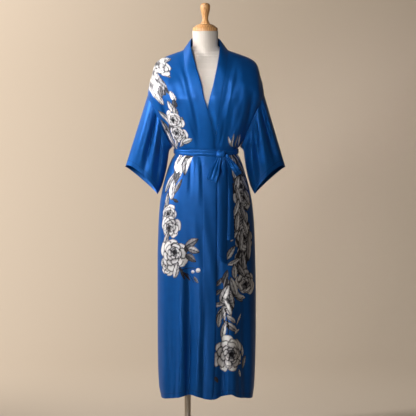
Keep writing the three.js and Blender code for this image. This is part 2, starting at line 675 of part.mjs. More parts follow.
// Where the bow and the tails hang: from the knot's own depth to just in front of the skirt.
const skirtFront = (x, z) => faceY("front", x, z) - CLOTH / 2 - BAND / 2;
const knotY = () => {
  const widest = Math.min(
    faceY("front", KNOT.x - KNOT.width / 2, KNOT.z),
    faceY("front", KNOT.x, KNOT.z),
  );
  return widest - SASH_OFFSET - BAND / 2 + KNOT_SEAT - KNOT.depth / 2;
};

function loopPiece(loop) {
  const top = new THREE.Vector3(loop.topX, 0, loop.topZ);
  const along = new THREE.Vector3(loop.footX, 0, loop.footZ).sub(top);
  const across = new THREE.Vector3(-along.z, 0, along.x).normalize();
  const points = STRIP_SIDES.map((side) => {
    const row = [];
    for (let j = 0; j < LOOP_STEPS; j += 1) {
      const angle = (2 * Math.PI * j) / LOOP_STEPS;
      const down = (1 - Math.cos(angle)) / 2;
      const half = mix(loop.top, loop.foot, smooth(down * 1.4)) / 2;
      const point = top.clone().addScaledVector(along, down);
      const hang = skirtFront(point.x, point.z) - loop.stand - loop.gap / 2;
      const open = (loop.gap / 2) * Math.sin(angle) * mix(0.35, 1, down);
      point.addScaledVector(across, side * half);
      point.y = mix(knotY() - loop.forward, hang, smooth(down * 1.6)) - open;
      row.push(point);
    }
    return row;
  });
  return { points, normals: gridNormals(points, true), wraps: true };
}

function tailPiece(tail) {
  const low = tail.shape[0].z;
  const high = tail.shape[tail.shape.length - 1].z;
  const points = [];
  for (let i = 0; i <= TAIL_ROWS; i += 1) {
    const down = (i / TAIL_ROWS) ** 1.3;
    const z = mix(high, low, down);
    const middle = lookUp(tail.shape, "z", z, "x");
    const half = lookUp(tail.shape, "z", z, "width") / 2;
    points.push(
      STRIP_SIDES.map((side) => {
        const x = middle + side * half;
        const edgeZ = z + (side * tail.slant * down ** 3) / 2;
        const hang = skirtFront(x, edgeZ) - TAIL_STAND;
        const y = mix(knotY() - tail.forward, hang, smooth(down * 6));
        return new THREE.Vector3(x, y, edgeZ);
      }),
    );
  }
  return { points, normals: gridNormals(points) };
}

// Direction square to a grid of points at each of them.
function gridNormals(grid, wraps = false) {
  const rows = grid.length;
  const columns = grid[0].length;
  return grid.map((row, i) =>
    row.map((point, j) => {
      const before = wraps ? (j + columns - 1) % columns : Math.max(0, j - 1);
      const after = wraps ? (j + 1) % columns : Math.min(columns - 1, j + 1);
      const across = row[after].clone().sub(row[before]);
      const up = grid[Math.min(rows - 1, i + 1)][j].clone();
      up.sub(grid[Math.max(0, i - 1)][j]);
      return across.cross(up).normalize();
    }),
  );
}

// A closed wall about a grid of middle points. A piece that wraps is a ring or a tube.
function wallGeometry({ points, normals, wraps = false }, thickness) {
  const rows = points.length;
  const columns = points[0].length;
  const positions = [];
  for (const side of [1, -1]) {
    points.forEach((row, i) =>
      row.forEach((point, j) => {
        const moved = point.clone().addScaledVector(normals[i][j], (side * thickness) / 2);
        positions.push(moved.x, moved.y, moved.z);
      }),
    );
  }
  const half = rows * columns;
  const at = (i, j) => i * columns + (j % columns);
  const faces = [];
  const quad = (a, b, c, d) => faces.push(a, b, c, a, c, d);
  const across = wraps ? columns : columns - 1;
  for (let i = 0; i < rows - 1; i += 1) {
    for (let j = 0; j < across; j += 1) {
      quad(at(i, j), at(i, j + 1), at(i + 1, j + 1), at(i + 1, j));
      quad(half + at(i, j), half + at(i + 1, j), half + at(i + 1, j + 1), half + at(i, j + 1));
    }
  }
  for (let j = 0; j < across; j += 1) {
    quad(at(0, j), half + at(0, j), half + at(0, j + 1), at(0, j + 1));
    const top = rows - 1;
    quad(at(top, j), at(top, j + 1), half + at(top, j + 1), half + at(top, j));
  }
  for (let i = 0; i < rows - 1 && !wraps; i += 1) {
    const end = columns - 1;
    quad(at(i, 0), at(i + 1, 0), half + at(i + 1, 0), half + at(i, 0));
    quad(at(i, end), half + at(i, end), half + at(i + 1, end), at(i + 1, end));
  }
  return closedGeometry(positions, faces);
}

// Geometry from points and triangles, turned so that its faces point out.
function closedGeometry(positions, faces) {
  const corner = (index) => new THREE.Vector3().fromArray(positions, index * 3);
  let volume = 0;
  for (let i = 0; i < faces.length; i += 3) {
    const [a, b, c] = [corner(faces[i]), corner(faces[i + 1]), corner(faces[i + 2])];
    volume += a.dot(b.cross(c));
  }
  if (volume < 0) faces.reverse();
  const geometry = new THREE.BufferGeometry();
  geometry.setAttribute("position", new THREE.Float32BufferAttribute(positions, 3));
  geometry.setIndex(faces);
  geometry.computeVertexNormals();
  return geometry;
}

// The dress form: sections from the neck down to a flat underside, closed at both ends.
function formGeometry() {
  const positions = [];
  for (const section of FORM) {
    for (let j = 0; j < FORM_COLUMNS; j += 1) {
      const angle = (2 * Math.PI * j) / FORM_COLUMNS;
      const cos = Math.cos(angle);
      const sin = Math.sin(angle);
      const power = 2 / section.power;
      const depth = sin < 0 ? section.front : section.back;
      positions.push(
        section.half * Math.sign(cos) * Math.abs(cos) ** power,
        depth * Math.sign(sin) * Math.abs(sin) ** power,
        section.z,
      );
    }
  }
  const top = positions.length / 3;
  positions.push(0, 0, FORM[0].z);
  positions.push(0, 0, FORM[FORM.length - 1].z);
  const faces = [];
  for (let j = 0; j < FORM_COLUMNS; j += 1) {
    const next = (j + 1) % FORM_COLUMNS;
    const low = (FORM.length - 1) * FORM_COLUMNS;
    faces.push(top, j, next);
    faces.push(top + 1, low + next, low + j);
    for (let i = 0; i < FORM.length - 1; i += 1) {
      const here = i * FORM_COLUMNS;
      const below = here + FORM_COLUMNS;
      faces.push(here + j, below + j, below + next);
      faces.push(here + j, below + next, here + next);
    }
  }
  return closedGeometry(positions, faces);
}

// Turned pieces stand on the Z axis: three.js turns its profiles round Y.
function turned(profile, steps = ROUND_STEPS) {
  const points = profile.map(([radius, height]) => new THREE.Vector2(radius, height));
  return new THREE.LatheGeometry(points, steps).rotateX(Math.PI / 2);
}

function woodGeometry(profile) {
  const neckTop = FORM[0].z + TOUCH_GAP;
  const outline = profile.map(({ radius, rise }) => [radius, neckTop + rise]);
  const low = outline[0][1];
  const high = outline[outline.length - 1][1];
  return turned([[0, low], ...outline, [0, high]]);
}

function ringGeometry(inner, outer, low, high, chamfer) {
  return turned([
    [inner, low],
    [outer, low],
    [outer, high - chamfer],
    [outer - chamfer, high],
    [inner, high],
    [inner, low],
  ]);
}

function basePlateGeometry() {
  return turned(
    [
      [0, 0],
      [BASE_RADIUS, 0],
      [BASE_RADIUS, BASE_HEIGHT - 4],
      [BASE_RADIUS - 5, BASE_HEIGHT],
      [0, BASE_HEIGHT],
    ],
    64,
  );
}

function poleGeometry() {
  const low = BASE_HEIGHT + TOUCH_GAP;
  const high = FORM[FORM.length - 1].z - TOUCH_GAP;
  const geometry = new THREE.CylinderGeometry(POLE_RADIUS, POLE_RADIUS, high - low, 32);
  return geometry.rotateX(Math.PI / 2).translate(0, 0, (high + low) / 2);
}

// The knot: a rounded block of wrapped sash, just in front of the sash.
function knotGeometry() {
  const geometry = new THREE.SphereGeometry(1, 20, 14);
  const spots = geometry.getAttribute("position");
  const y = knotY();
  const square = (value) => Math.sign(value) * Math.abs(value) ** KNOT.squareness;
  for (let i = 0; i < spots.count; i += 1) {
    spots.setXYZ(
      i,
      KNOT.x + (square(spots.getX(i)) * KNOT.width) / 2,
      y + (square(spots.getY(i)) * KNOT.depth) / 2,
      KNOT.z + (square(spots.getZ(i)) * KNOT.height) / 2,
    );
  }
  geometry.computeVertexNormals();
  return geometry;
}

// Assembly
const group = new THREE.Group();

function add(name, geometry, finish, place = [0, 0, 0]) {
  const mesh = new THREE.Mesh(geometry, new THREE.MeshStandardMaterial(finish));
  mesh.name = name;
  mesh.position.set(...place);
  group.add(mesh);
}

const right = frontPieces("right");
const left = frontPieces("left");
const corner = (pieces) => pieces.panel.normals[TOP_ROW][SIDE_COLUMNS];
const back = backPieces(corner(right), corner(left));

add("back_panel", wallGeometry(back.panel, CLOTH), SATIN);
add("right_front", wallGeometry(right.panel, CLOTH), SATIN);
add("left_front", wallGeometry(left.panel, CLOTH), SATIN);
add("neckband_right", wallGeometry(right.band, BAND), SATIN);
add("neckband_left", wallGeometry(left.band, BAND), SATIN);
add("neckband_back", wallGeometry(back.band, BAND), SATIN);
for (const sleeve of SLEEVES) {
  const front = sleeve.side === "right" ? right.panel : left.panel;
  add(sleeve.name, wallGeometry(sleevePiece(sleeve, front, back.panel), CLOTH), SATIN);
}
add("belt", wallGeometry(sashPiece(), BAND), SATIN);
add("belt_knot", knotGeometry(), SATIN);
for (const loop of LOOPS) add(loop.name, wallGeometry(loopPiece(loop), BAND), SATIN);
for (const tail of TAILS) add(tail.name, wallGeometry(tailPiece(tail), BAND), SATIN);

add("dress_form", formGeometry(), FORM_SHELL);
add("neck_cap", woodGeometry(CAP_PROFILE), TURNED_WOOD);
add("cap_knob", woodGeometry(KNOB_PROFILE), TURNED_WOOD);

const formUnderside = FORM[FORM.length - 1].z - TOUCH_GAP;
const boreRadius = POLE_RADIUS + TOUCH_GAP;
add(
  "form_collar",
  ringGeometry(boreRadius, COLLAR_RADIUS, formUnderside - COLLAR_HEIGHT, formUnderside, 1),
  POLISHED_STEEL,
  [POLE_X, 0, 0],
);
add("pole", poleGeometry(), POLISHED_STEEL, [POLE_X, 0, 0]);
add(
  "base_socket",
  ringGeometry(boreRadius, SOCKET_RADIUS, BASE_HEIGHT + TOUCH_GAP, BASE_HEIGHT + SOCKET_HEIGHT, 3),
  POLISHED_STEEL,
  [POLE_X, 0, 0],
);
add("base_plate", basePlateGeometry(), POLISHED_STEEL);

export default group;
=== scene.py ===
import math

import bpy
import numpy as np
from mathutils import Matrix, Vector


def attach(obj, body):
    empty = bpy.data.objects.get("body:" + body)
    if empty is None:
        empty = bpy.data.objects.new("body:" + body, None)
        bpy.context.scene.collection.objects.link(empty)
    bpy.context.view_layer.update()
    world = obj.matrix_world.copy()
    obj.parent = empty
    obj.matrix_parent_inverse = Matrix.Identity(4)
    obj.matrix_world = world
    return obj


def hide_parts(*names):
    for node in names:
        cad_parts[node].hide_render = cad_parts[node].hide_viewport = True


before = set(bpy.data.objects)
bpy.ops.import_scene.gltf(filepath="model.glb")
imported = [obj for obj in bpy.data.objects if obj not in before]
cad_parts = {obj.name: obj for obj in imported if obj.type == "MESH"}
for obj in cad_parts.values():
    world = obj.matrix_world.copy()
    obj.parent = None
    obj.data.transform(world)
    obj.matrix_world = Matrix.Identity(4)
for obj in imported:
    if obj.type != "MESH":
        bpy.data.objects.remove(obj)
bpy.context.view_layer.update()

# Stand: a round base plate, a socket on it, a slim tube and a collar under the form.
# All are steel, turned or drawn and then satin-polished, and they screw into one another.
STEEL_COLOUR = 0xCDC4B8
BASE_COLOUR = 0xA9A299
MARK_DARKENING = 0x0C0C0C  # how much darker the polishing marks are
POLISH_LINE = 0.9  # mm between polishing marks, drawn coarser than the real 0.1 mm so that they show


def linear(hex_code, alpha=1.0):
    """An sRGB hex colour as the linear numbers that the shader works with."""
    parts = [(hex_code >> shift & 255) / 255 for shift in (16, 8, 0)]
    return [p / 12.92 if p <= 0.04045 else ((p + 0.055) / 1.055) ** 2.4 for p in parts] + [alpha]


def fill(tree, node, sockets):
    """Fills a node's sockets with values or other nodes' outputs; a node stands for its first one."""
    for name, value in sockets.items():
        if isinstance(value, bpy.types.Node):
            value = value.outputs[0]
        if isinstance(value, bpy.types.NodeSocket):
            tree.links.new(value, node.inputs[name])
        else:
            node.inputs[name].default_value = value


def add(tree, kind, sockets, **settings):
    """Adds a node, sets its options and fills its sockets."""
    node = tree.nodes.new("ShaderNode" + kind)
    for name, value in settings.items():
        setattr(node, name, value)
    fill(tree, node, sockets)
    return node


def new_finish(name):
    """An empty material, its tree, and the shader that its nodes will feed."""
    material = bpy.data.materials.new(name)
    material.use_nodes = True
    tree = material.node_tree
    tree.nodes.clear()
    shader = add(tree, "BsdfPrincipled", {})
    add(tree, "OutputMaterial", {"Surface": shader})
    return material, tree, shader


def polished_steel(name, colour, roughness):
    """Plated steel: a soft bright streak along the tube, broken by faint polishing marks round it."""
    material, tree, shader = new_finish(name)
    place = add(tree, "TexCoord", {}).outputs["Object"]
    stretched = add(tree, "Mapping", {"Vector": place, "Scale": (12, 12, 1000 / POLISH_LINE)})
    marks = add(tree, "TexNoise", {"Vector": stretched, "Scale": 1.0, "Detail": 3.0})
    smears = add(tree, "TexNoise", {"Vector": place, "Scale": 14.0, "Detail": 4.0})
    limits = {"To Min": roughness * 0.75, "To Max": roughness * 1.3}
    rough = add(tree, "MapRange", {"Value": smears, **limits})
    shades = {"Color1": linear(colour), "Color2": linear(colour - MARK_DARKENING)}
    tint = add(tree, "MixRGB", {"Fac": marks, **shades})
    grooves = add(tree, "Bump", {"Height": marks, "Strength": 0.12, "Distance": 0.0002})
    fill(tree, shader, {"Base Color": tint, "Roughness": rough, "Normal": grooves, "Metallic": 1.0})
    return material


def refinish(node, material):
    """Gives a CAD node that is kept its better finish."""
    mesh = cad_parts[node].data
    mesh.materials.clear()
    mesh.materials.append(material)


tube_steel = polished_steel("satin_polished_steel_tube", STEEL_COLOUR, 0.3)
base_steel = polished_steel("brushed_steel_base", BASE_COLOUR, 0.38)
for name in ("pole", "form_collar", "base_socket"):
    refinish(name, tube_steel)
refinish("base_plate", base_steel)

# Dress form: a limbless moulded body with a smooth neck, rigid fibre covered with fine pale jersey.
# It carries the robe on its shoulders and slides onto the tube of the stand.
FORM_COLOUR = 0xCFC9C4
WORN_COLOUR = 0xC6BEB6
JERSEY_STITCH = 1.6  # mm; real jersey has about 0.8, drawn twice as coarse so that it shows


def covered_shell():
    """Pale jersey over a hard body: matt, faintly knitted, a little darker where it is rubbed."""
    material, tree, shader = new_finish("pale_jersey_over_shell")
    place = add(tree, "TexCoord", {}).outputs["Object"]
    size = 1000 / JERSEY_STITCH
    scaled = add(tree, "Mapping", {"Vector": place, "Scale": (size, size, size * 0.7)})
    stitches = add(tree, "TexVoronoi", {"Vector": scaled, "Scale": 1.0})
    wear = add(tree, "TexNoise", {"Vector": place, "Scale": 9.0, "Detail": 5.0})
    shades = {"Color1": linear(FORM_COLOUR), "Color2": linear(WORN_COLOUR)}
    colour = add(tree, "MixRGB", {"Fac": wear, **shades})
    height = stitches.outputs["Distance"]
    knit = add(tree, "Bump", {"Height": height, "Strength": 0.25, "Distance": 0.0003})
    fill(tree, shader, {"Base Color": colour, "Normal": knit})
    fill(tree, shader, {"Roughness": 0.72, "Sheen Weight": 0.12})
    return material


refinish("dress_form", covered_shell())

# Neck cap and knob: a stepped disc and a small waisted knob that close the top of the neck, turned
# from pale hardwood, oiled and rubbed. The knob is screwed down through the disc.
WOOD_LIGHT = 0xDDAA72
WOOD_DARK = 0xA96F3D
GRAIN = 3.2  # mm between growth rings


def turned_wood():
    """Oiled hardwood: warm, with fine growth rings across the disc and a soft gloss on its edges."""
    material, tree, shader = new_finish("oiled_turned_hardwood")
    place = add(tree, "TexCoord", {}).outputs["Object"]
    board = {"Scale": (1000 / GRAIN, 160, 90), "Rotation": (0.2, 0.1, 0.5)}
    scaled = add(tree, "Mapping", {"Vector": place, **board})
    wave = {"Scale": 0.16, "Distortion": 5.0, "Detail": 3.0, "Detail Scale": 1.4}
    rings = add(tree, "TexWave", {"Vector": scaled, **wave})
    stretched = add(tree, "Mapping", {"Vector": place, "Scale": (900, 160, 160)})
    pores = add(tree, "TexNoise", {"Vector": stretched, "Scale": 1.0, "Detail": 4.0})
    mixed = add(tree, "MixRGB", {"Fac": 0.45, "Color1": rings, "Color2": pores})
    ramp = add(tree, "ValToRGB", {"Fac": mixed})
    ramp.color_ramp.elements[0].color = linear(WOOD_DARK)
    ramp.color_ramp.elements[0].position = 0.1
    ramp.color_ramp.elements[1].color = linear(WOOD_LIGHT)
    ramp.color_ramp.elements[1].position = 0.62
    grooves = add(tree, "Bump", {"Height": pores, "Strength": 0.15, "Distance": 0.0003})
    fill(tree, shader, {"Base Color": ramp, "Normal": grooves})
    fill(tree, shader, {"Roughness": 0.42, "Coat Weight": 0.2, "Coat Roughness": 0.3})
    return material


oiled_wood = turned_wood()
refinish("neck_cap", oiled_wood)
refinish("cap_knob", oiled_wood)

# Body of the robe: a back and two fronts of printed polyester satin, joined at shoulders and sides.
# The wearer's right front laps over the left one, and the cloth falls in long folds from the sash.
UNDERARM_Z = 1128
SHOULDER_END_Z = 1327  # where the shoulder line meets the sleeve seam
NECK_SIDE_Z = 1502  # where front, back and neckband meet beside the neck
NECK_SIDE_X = 84
BACK_MIDDLE = {"half_x": 46, "start_z": 1100}  # the back's middle columns widen from here up
BACK_NECK_RISE = 5  # the back neckline is this much higher in the middle
LEFT_SCALE = 1.025  # the wearer's left shoulder reaches a little further out
SHOULDER_ROLL = 120  # drop below the shoulder line over which the depth fills out
SECTION_POWER = 2.35  # 2 is an ellipse, more is squarer
CHEST = {"power": 2.9, "from_z": 1140, "rise": 90, "to_z": 1360, "fall": 110}  # flatter section
SEAM_GAP = 0.3
LAP_INSET = 5.5  # the under front lies this far behind the upper one
LAP_BLEND = 28  # and comes forward again over this width
BUST_LINE = {"z": 1322, "width": 20, "depth": 2.0}  # a faint level crease over the chest
HEM_FADE = 500  # height over which the waves of the hem fade out
SATIN_WALL = 1.2  # mm, a single layer with its turned-in edges


def table(text):
    """Columns of numbers by name: the first line names them, and each other line is a row."""
    names, *rows = (line.split() for line in text.strip().splitlines())
    return dict(zip(names, np.array(rows, float).T))


# Half widths and depths of the robe by height
BODY = table("""
    z right left front back
    147 172 185 150 141
    195 181 191 150 141
    290 185 195 148 140
    420 186 197 145 139
    560 186 197 141 137
    680 186 195 138 136
    800 183 191 134 134
    900 177 183 130 130
    972 164 169 123 123
    1025 150 154 115 111
    1063 137 142 107 100
    1084 127 133 101 91
    1097 119 125 98 86
    1119 119 125 98 86
    1128 125 133 100 87
    1150 145 151 104 90
    1200 171 176 115 98
    1250 195 200 124 106
    1310 224 229 129 113
    1350 238 243 124 114
    1400 245 250 112 110
    1440 248 253 99 103
    1470 250 255 86 94
    1502 250 255 76 80
    1560 250 255 66 68
""")
# Sleeve seam
ARMHOLE = table("""
    z right left
    1128 125 133
    1150 141 147
    1200 162 167
    1250 184 189
    1300 209 214
    1327 223 228.6
""")
# Shoulder line seen from the front
SHOULDER = table("""
    x z
    0 1556
    30 1553
    54 1543
    84 1502
    112 1491
    141 1480.5
    171 1467.5
    189 1454
    199 1437
    208 1401
    216 1374
    223 1327
    260 1100
""")
# Seam and free edge of the neckband on the upper and the under front
FRONT_EDGES = table("""
    z upper_seam upper_edge under_seam under_edge
    147 -24 25 10 -38
    220 -18 32 13 -36
    390 -13 38 15 -35
    560 -10 42 15 -35
    900 -9 43 15 -35
    1060 -9 43 17 -33
    1120 -12 36 27 -24
    1180 -18 30 41 -13
    1222 -27 21 50 -4
    1278 -40 8 56 9
    1320 -48 -5 62 18
    1372 -60 -15 71 31
    1427 -73 -32 80 43
    1466 -80 -43 84 50
    1502 -84 -53 86 55
    1522 -84 -57 86 57
    1543 -84 -55.5 86 55.5
""")
# How far the hem is lifted over the lowest height of the body
HEM = table("""
    x front back
    -172 0 0
    -140 6 3
    -110 13 8
    -55 26 3
    -20 17 9
    0 11 12
    30 8 6
    62 19 2
    98 27 9
    130 12 13
    165 4 5
    185 0 0
""")
# Long folds that open towards the hem: ridges have a positive depth, and lean sharpens one side
LONG_FOLDS = {
    "front": table("""
    top_x top_z foot_x width depth lean
    -146 1010 -166 15 7 0.2
    -122 900 -136 14 -8 -0.2
    -90 1000 -102 16 11 0.25
    -52 960 -66 17 -17 -0.25
    -22 800 -30 12 6 0.2
    60 700 64 15 -13 0.2
    100 980 112 18 11 -0.2
    140 760 157 18 -20 0.25
    -108 760 -119 8 -4 0.3
    -76 700 -84 7 4 -0.3
    -4 640 -8 9 -4 0.2
    84 620 88 8 4 0.3
    122 640 134 8 -4 -0.3
    168 800 180 9 5 0.2
    """),
    "back": table("""
    top_x top_z foot_x width depth lean
    -128 980 -142 18 8 0.2
    -92 900 -104 16 -12 -0.2
    -52 1010 -60 18 10 0.25
    -10 940 -16 17 -14 -0.25
    30 860 34 16 9 0.2
    74 1000 86 18 -13 0.2
    118 900 132 17 9 -0.2
    -74 700 -80 8 -4 0.3
    10 660 8 8 4 -0.3
    54 700 60 8 -4 0.2
    100 620 108 8 4 0.3
    """),
}
# Gathers at the sash and creases of the bodice, each from one end to the other
SHORT_FOLDS = {
    "front": table("""
    from_x from_z to_x to_z width depth
    -84 1090 -96 980 9 4
    -58 1090 -64 930 9 -5
    -30 1090 -30 900 9 4
    84 1088 98 960 9 -4
    106 1088 122 1000 8 4
    -52 1128 -112 1250 12 -3.5
    -82 1130 -132 1215 11 3
    70 1128 108 1300 12 -3.5
    92 1128 140 1250 11 3
    -100 1094 -114 1040 5 2.4
    -72 1094 -78 1020 5 -2.6
    -46 1094 -50 1000 5 2.6
    -18 1094 -14 1010 5 -2.4
    66 1092 74 1010 5 2.2
    96 1094 108 1030 5 -2.2
    -34 1124 -70 1230 6 3
    -24 1200 -92 1464 8 -2.4
    -38 1190 -104 1464 6 1.6
    -20 1124 -56 1320 8 -3
    -136 1126 -178 1350 12 -20
    -112 1150 -156 1350 8 3
    -60 1300 -120 1440 12 -2.5
    -96 1240 -150 1400 13 2.5
    52 1124 74 1240 6 -3
    84 1124 120 1210 5 2.6
    142 1126 184 1350 12 -20
    118 1150 160 1350 8 3
    58 1240 104 1466 8 -2.2
    70 1200 120 1466 6 1.6
    80 1290 134 1440 12 -2.5
    110 1230 160 1390 13 2.5
    """),
    "back": table("""
    from_x from_z to_x to_z width depth
    -70 1090 -84 960 10 -4
    -20 1090 -24 980 10 4
    34 1090 40 940 10 -5
    76 1090 90 980 9 4
    -40 1136 -96 1290 13 -5
    46 1136 100 1270 13 -5
    4 1136 8 1300 13 4
    -94 1092 -104 1030 5 2.4
    -48 1092 -52 1010 5 -2.6
    8 1092 8 1000 5 -2.4
    54 1092 60 1020 5 2.4
    -70 1132 -150 1260 8 4
    74 1132 152 1250 8 4
    -16 1128 -40 1230 6 -3
    26 1128 48 1220 6 3
    -120 1180 -40 1440 15 4
    120 1190 50 1440 15 4
    """),
}


def mix(start, end, share):
    return start + (end - start) * share


def smooth(value):
    t = np.clip(value, 0, 1)
    return t * t * (3 - 2 * t)


def bump(distance, width):
    return np.exp(-((distance / width) ** 2))


def look_up(rows, key, at, column):
    """A column's value between the rows, on a smooth curve that never overshoots them."""
    spots, values = rows[key], rows[column]
    slopes = np.diff(values) / np.diff(spots)
    before, after = slopes[:-1], slopes[1:]
    same_way = before * after > 0
    both = np.where(same_way, before + after, 1)
    middle = np.where(same_way, 2 * before * after / both, 0)
    ends = np.concatenate([slopes[:1], middle, slopes[-1:]])
    at = np.clip(at, spots[0], spots[-1])
    i = np.clip(np.searchsorted(spots, at) - 1, 0, len(spots) - 2)
    step = spots[i + 1] - spots[i]
    t = (at - spots[i]) / step
    bend = (t**3 - 2 * t * t + t) * ends[i] * step + (t**3 - t * t) * ends[i + 1] * step
    return mix(values[i], values[i + 1], t * t * (3 - 2 * t)) + bend


def shoulder_z(x):
    return look_up(SHOULDER, "x", np.abs(x) / np.where(x < 0, 1, LEFT_SCALE), "z")


def half_width(x, z):
    return np.where(x < 0, look_up(BODY, "z", z, "right"), look_up(BODY, "z", z, "left"))


def ripple(x, z):
    """Slack in the cloth: uneven shallow waves, longer down the robe than across it."""
    waves = (
        np.sin(x / 9.1 + z / 61 + 0.6)
        + np.sin(x / 14.3 - z / 83 + 2.1)
        + 0.7 * np.sin(x / 6.3 + z / 37 + 4.4)
        + 0.8 * np.sin(z / 46 - x / 23 + 1.3)
    )
    return 0.42 * waves


def fold_depth(face, x, z):
    """How far the folds push a face of the robe out."""
    depth = ripple(x if face == "front" else -x, z)
    if face == "front":
        lit = smooth((np.abs(x + 8) - 14) / 20) * (1 - smooth((np.abs(x + 8) - 110) / 40))
        depth = depth + BUST_LINE["depth"] * bump(z - BUST_LINE["z"], BUST_LINE["width"]) * lit
    rows = LONG_FOLDS[face]
    for top_x, top_z, foot_x, width, fold, lean in zip(*rows.values()):
        down = (top_z - z) / (top_z - BODY["z"][0])
        off = x - mix(top_x, foot_x, down) - 3 * np.sin(z / 97 + top_x)
        spread = width * (1 + lean * np.sign(off))
        depth = depth + fold * smooth(down * 1.15) * bump(off, spread)
    rows = SHORT_FOLDS[face]
    for from_x, from_z, to_x, to_z, width, fold in zip(*rows.values()):
        along = np.clip((z - from_z) / (to_z - from_z), 0, 1)
        off = x - mix(from_x, to_x, along) - 0.5 * width * np.sin(3 * along)
        depth = depth + fold * np.sin(np.pi * along) * bump(off, width)
    return depth


def face_y(face, x, z):
    """How far one face of the robe lies from the middle plane, as a y value in mm."""
    across = np.clip(np.abs(x) / half_width(x, z), 0, 1)
    chest = smooth((z - CHEST["from_z"]) / CHEST["rise"])
    chest = chest * (1 - smooth((z - CHEST["to_z"]) / CHEST["fall"]))
    power = mix(SECTION_POWER, CHEST["power"], chest)
    rounded = (1 - across**power) ** (1 / power)
    drop = np.clip((shoulder_z(x) - z) / SHOULDER_ROLL, 0, 1)
    roll = np.sqrt(1 - (1 - drop) ** 2)
    depth = look_up(BODY, "z", z, face) * rounded * roll
    folded = depth + fold_depth(face, x, z) * (1 - across**6) * roll
    folded = np.maximum(folded, SEAM_GAP / 2)
    return -folded if face == "front" else folded


def lap_inset(x, z):
    """The under front lies behind the upper one as far as its edge."""
    edge = look_up(FRONT_EDGES, "z", z, "upper_edge")
    return LAP_INSET * smooth((edge + LAP_BLEND - x) / LAP_BLEND)


def panel_rows(step):
    """Heights at a row's outer and inner end, and its share of the yoke, from the hem up."""
    skirt = np.arange(BODY["z"][0], UNDERARM_Z, step)
    yoke = np.linspace(0, 1, int((NECK_SIDE_Z - UNDERARM_Z) / step) + 1)
    out_z = np.concatenate([skirt, mix(UNDERARM_Z, SHOULDER_END_Z, yoke)])
    in_z = np.concatenate([skirt, mix(UNDERARM_Z, NECK_SIDE_Z, yoke)])
    return out_z, in_z, np.concatenate([np.zeros(len(skirt)), yoke])


def hem_lift(face, x, out_z):
    return look_up(HEM, "x", x, face) * (1 - smooth((out_z - BODY["z"][0]) / HEM_FADE))


def panel_place(side, face, rows, share, inner_x):
    """x and z of a panel's points, seen from the front: share runs from the outer end inwards."""
    out_z, in_z, yoke = (column[:, None] for column in rows)
    sign = -1 if side == "right" else 1
    skirt_x = look_up(BODY, "z", out_z, side)
    out_x = sign * np.where(out_z < UNDERARM_Z, skirt_x, look_up(ARMHOLE, "z", out_z, side))
    x = mix(out_x, inner_x(in_z), share)
    top_x = mix(sign * ARMHOLE[side][-1], inner_x(NECK_SIDE_Z), share)
    top_share = (shoulder_z(top_x) - SHOULDER_END_Z) / (NECK_SIDE_Z - SHOULDER_END_Z)
    z = mix(out_z, in_z, mix(share, top_share, yoke**2))
    return x, z + hem_lift(face, x, out_z)


def even_shares(side, face, rows, inner_x, columns):
    """Shares that space a panel's columns evenly over its curve, which turns steeply at the side."""
    fine = np.linspace(0, 1, 1200) ** 3
    x, z = panel_place(side, face, rows, fine[None, :], inner_x)
    y = face_y(face, x, z)
    run = np.hypot(np.diff(x, axis=1), np.diff(y, axis=1))
    length = np.concatenate([np.zeros((len(x), 1)), np.cumsum(run, axis=1)], axis=1)
    wanted = np.linspace(0, 1, columns)
    return np.array([np.interp(wanted * row[-1], row, fine) for row in length])


def grid_normals(points, wraps):
    """Direction square to a grid of points at each of them."""
    if wraps:
        across = np.roll(points, -1, 1) - np.roll(points, 1, 1)
    else:
        across = np.gradient(points, axis=1)
    normal = np.cross(across, np.gradient(points, axis=0))
    return normal / np.maximum(np.linalg.norm(normal, axis=2, keepdims=True), 1e-9)


def run_along(points, axis):
    """Length of cloth from the grid's first row or column to each point."""
    run = np.linalg.norm(np.diff(points, axis=axis), axis=2)
    start = np.zeros_like(run[:1] if axis == 0 else run[:, :1])
    return np.concatenate([start, np.cumsum(run, axis=axis)], axis=axis)


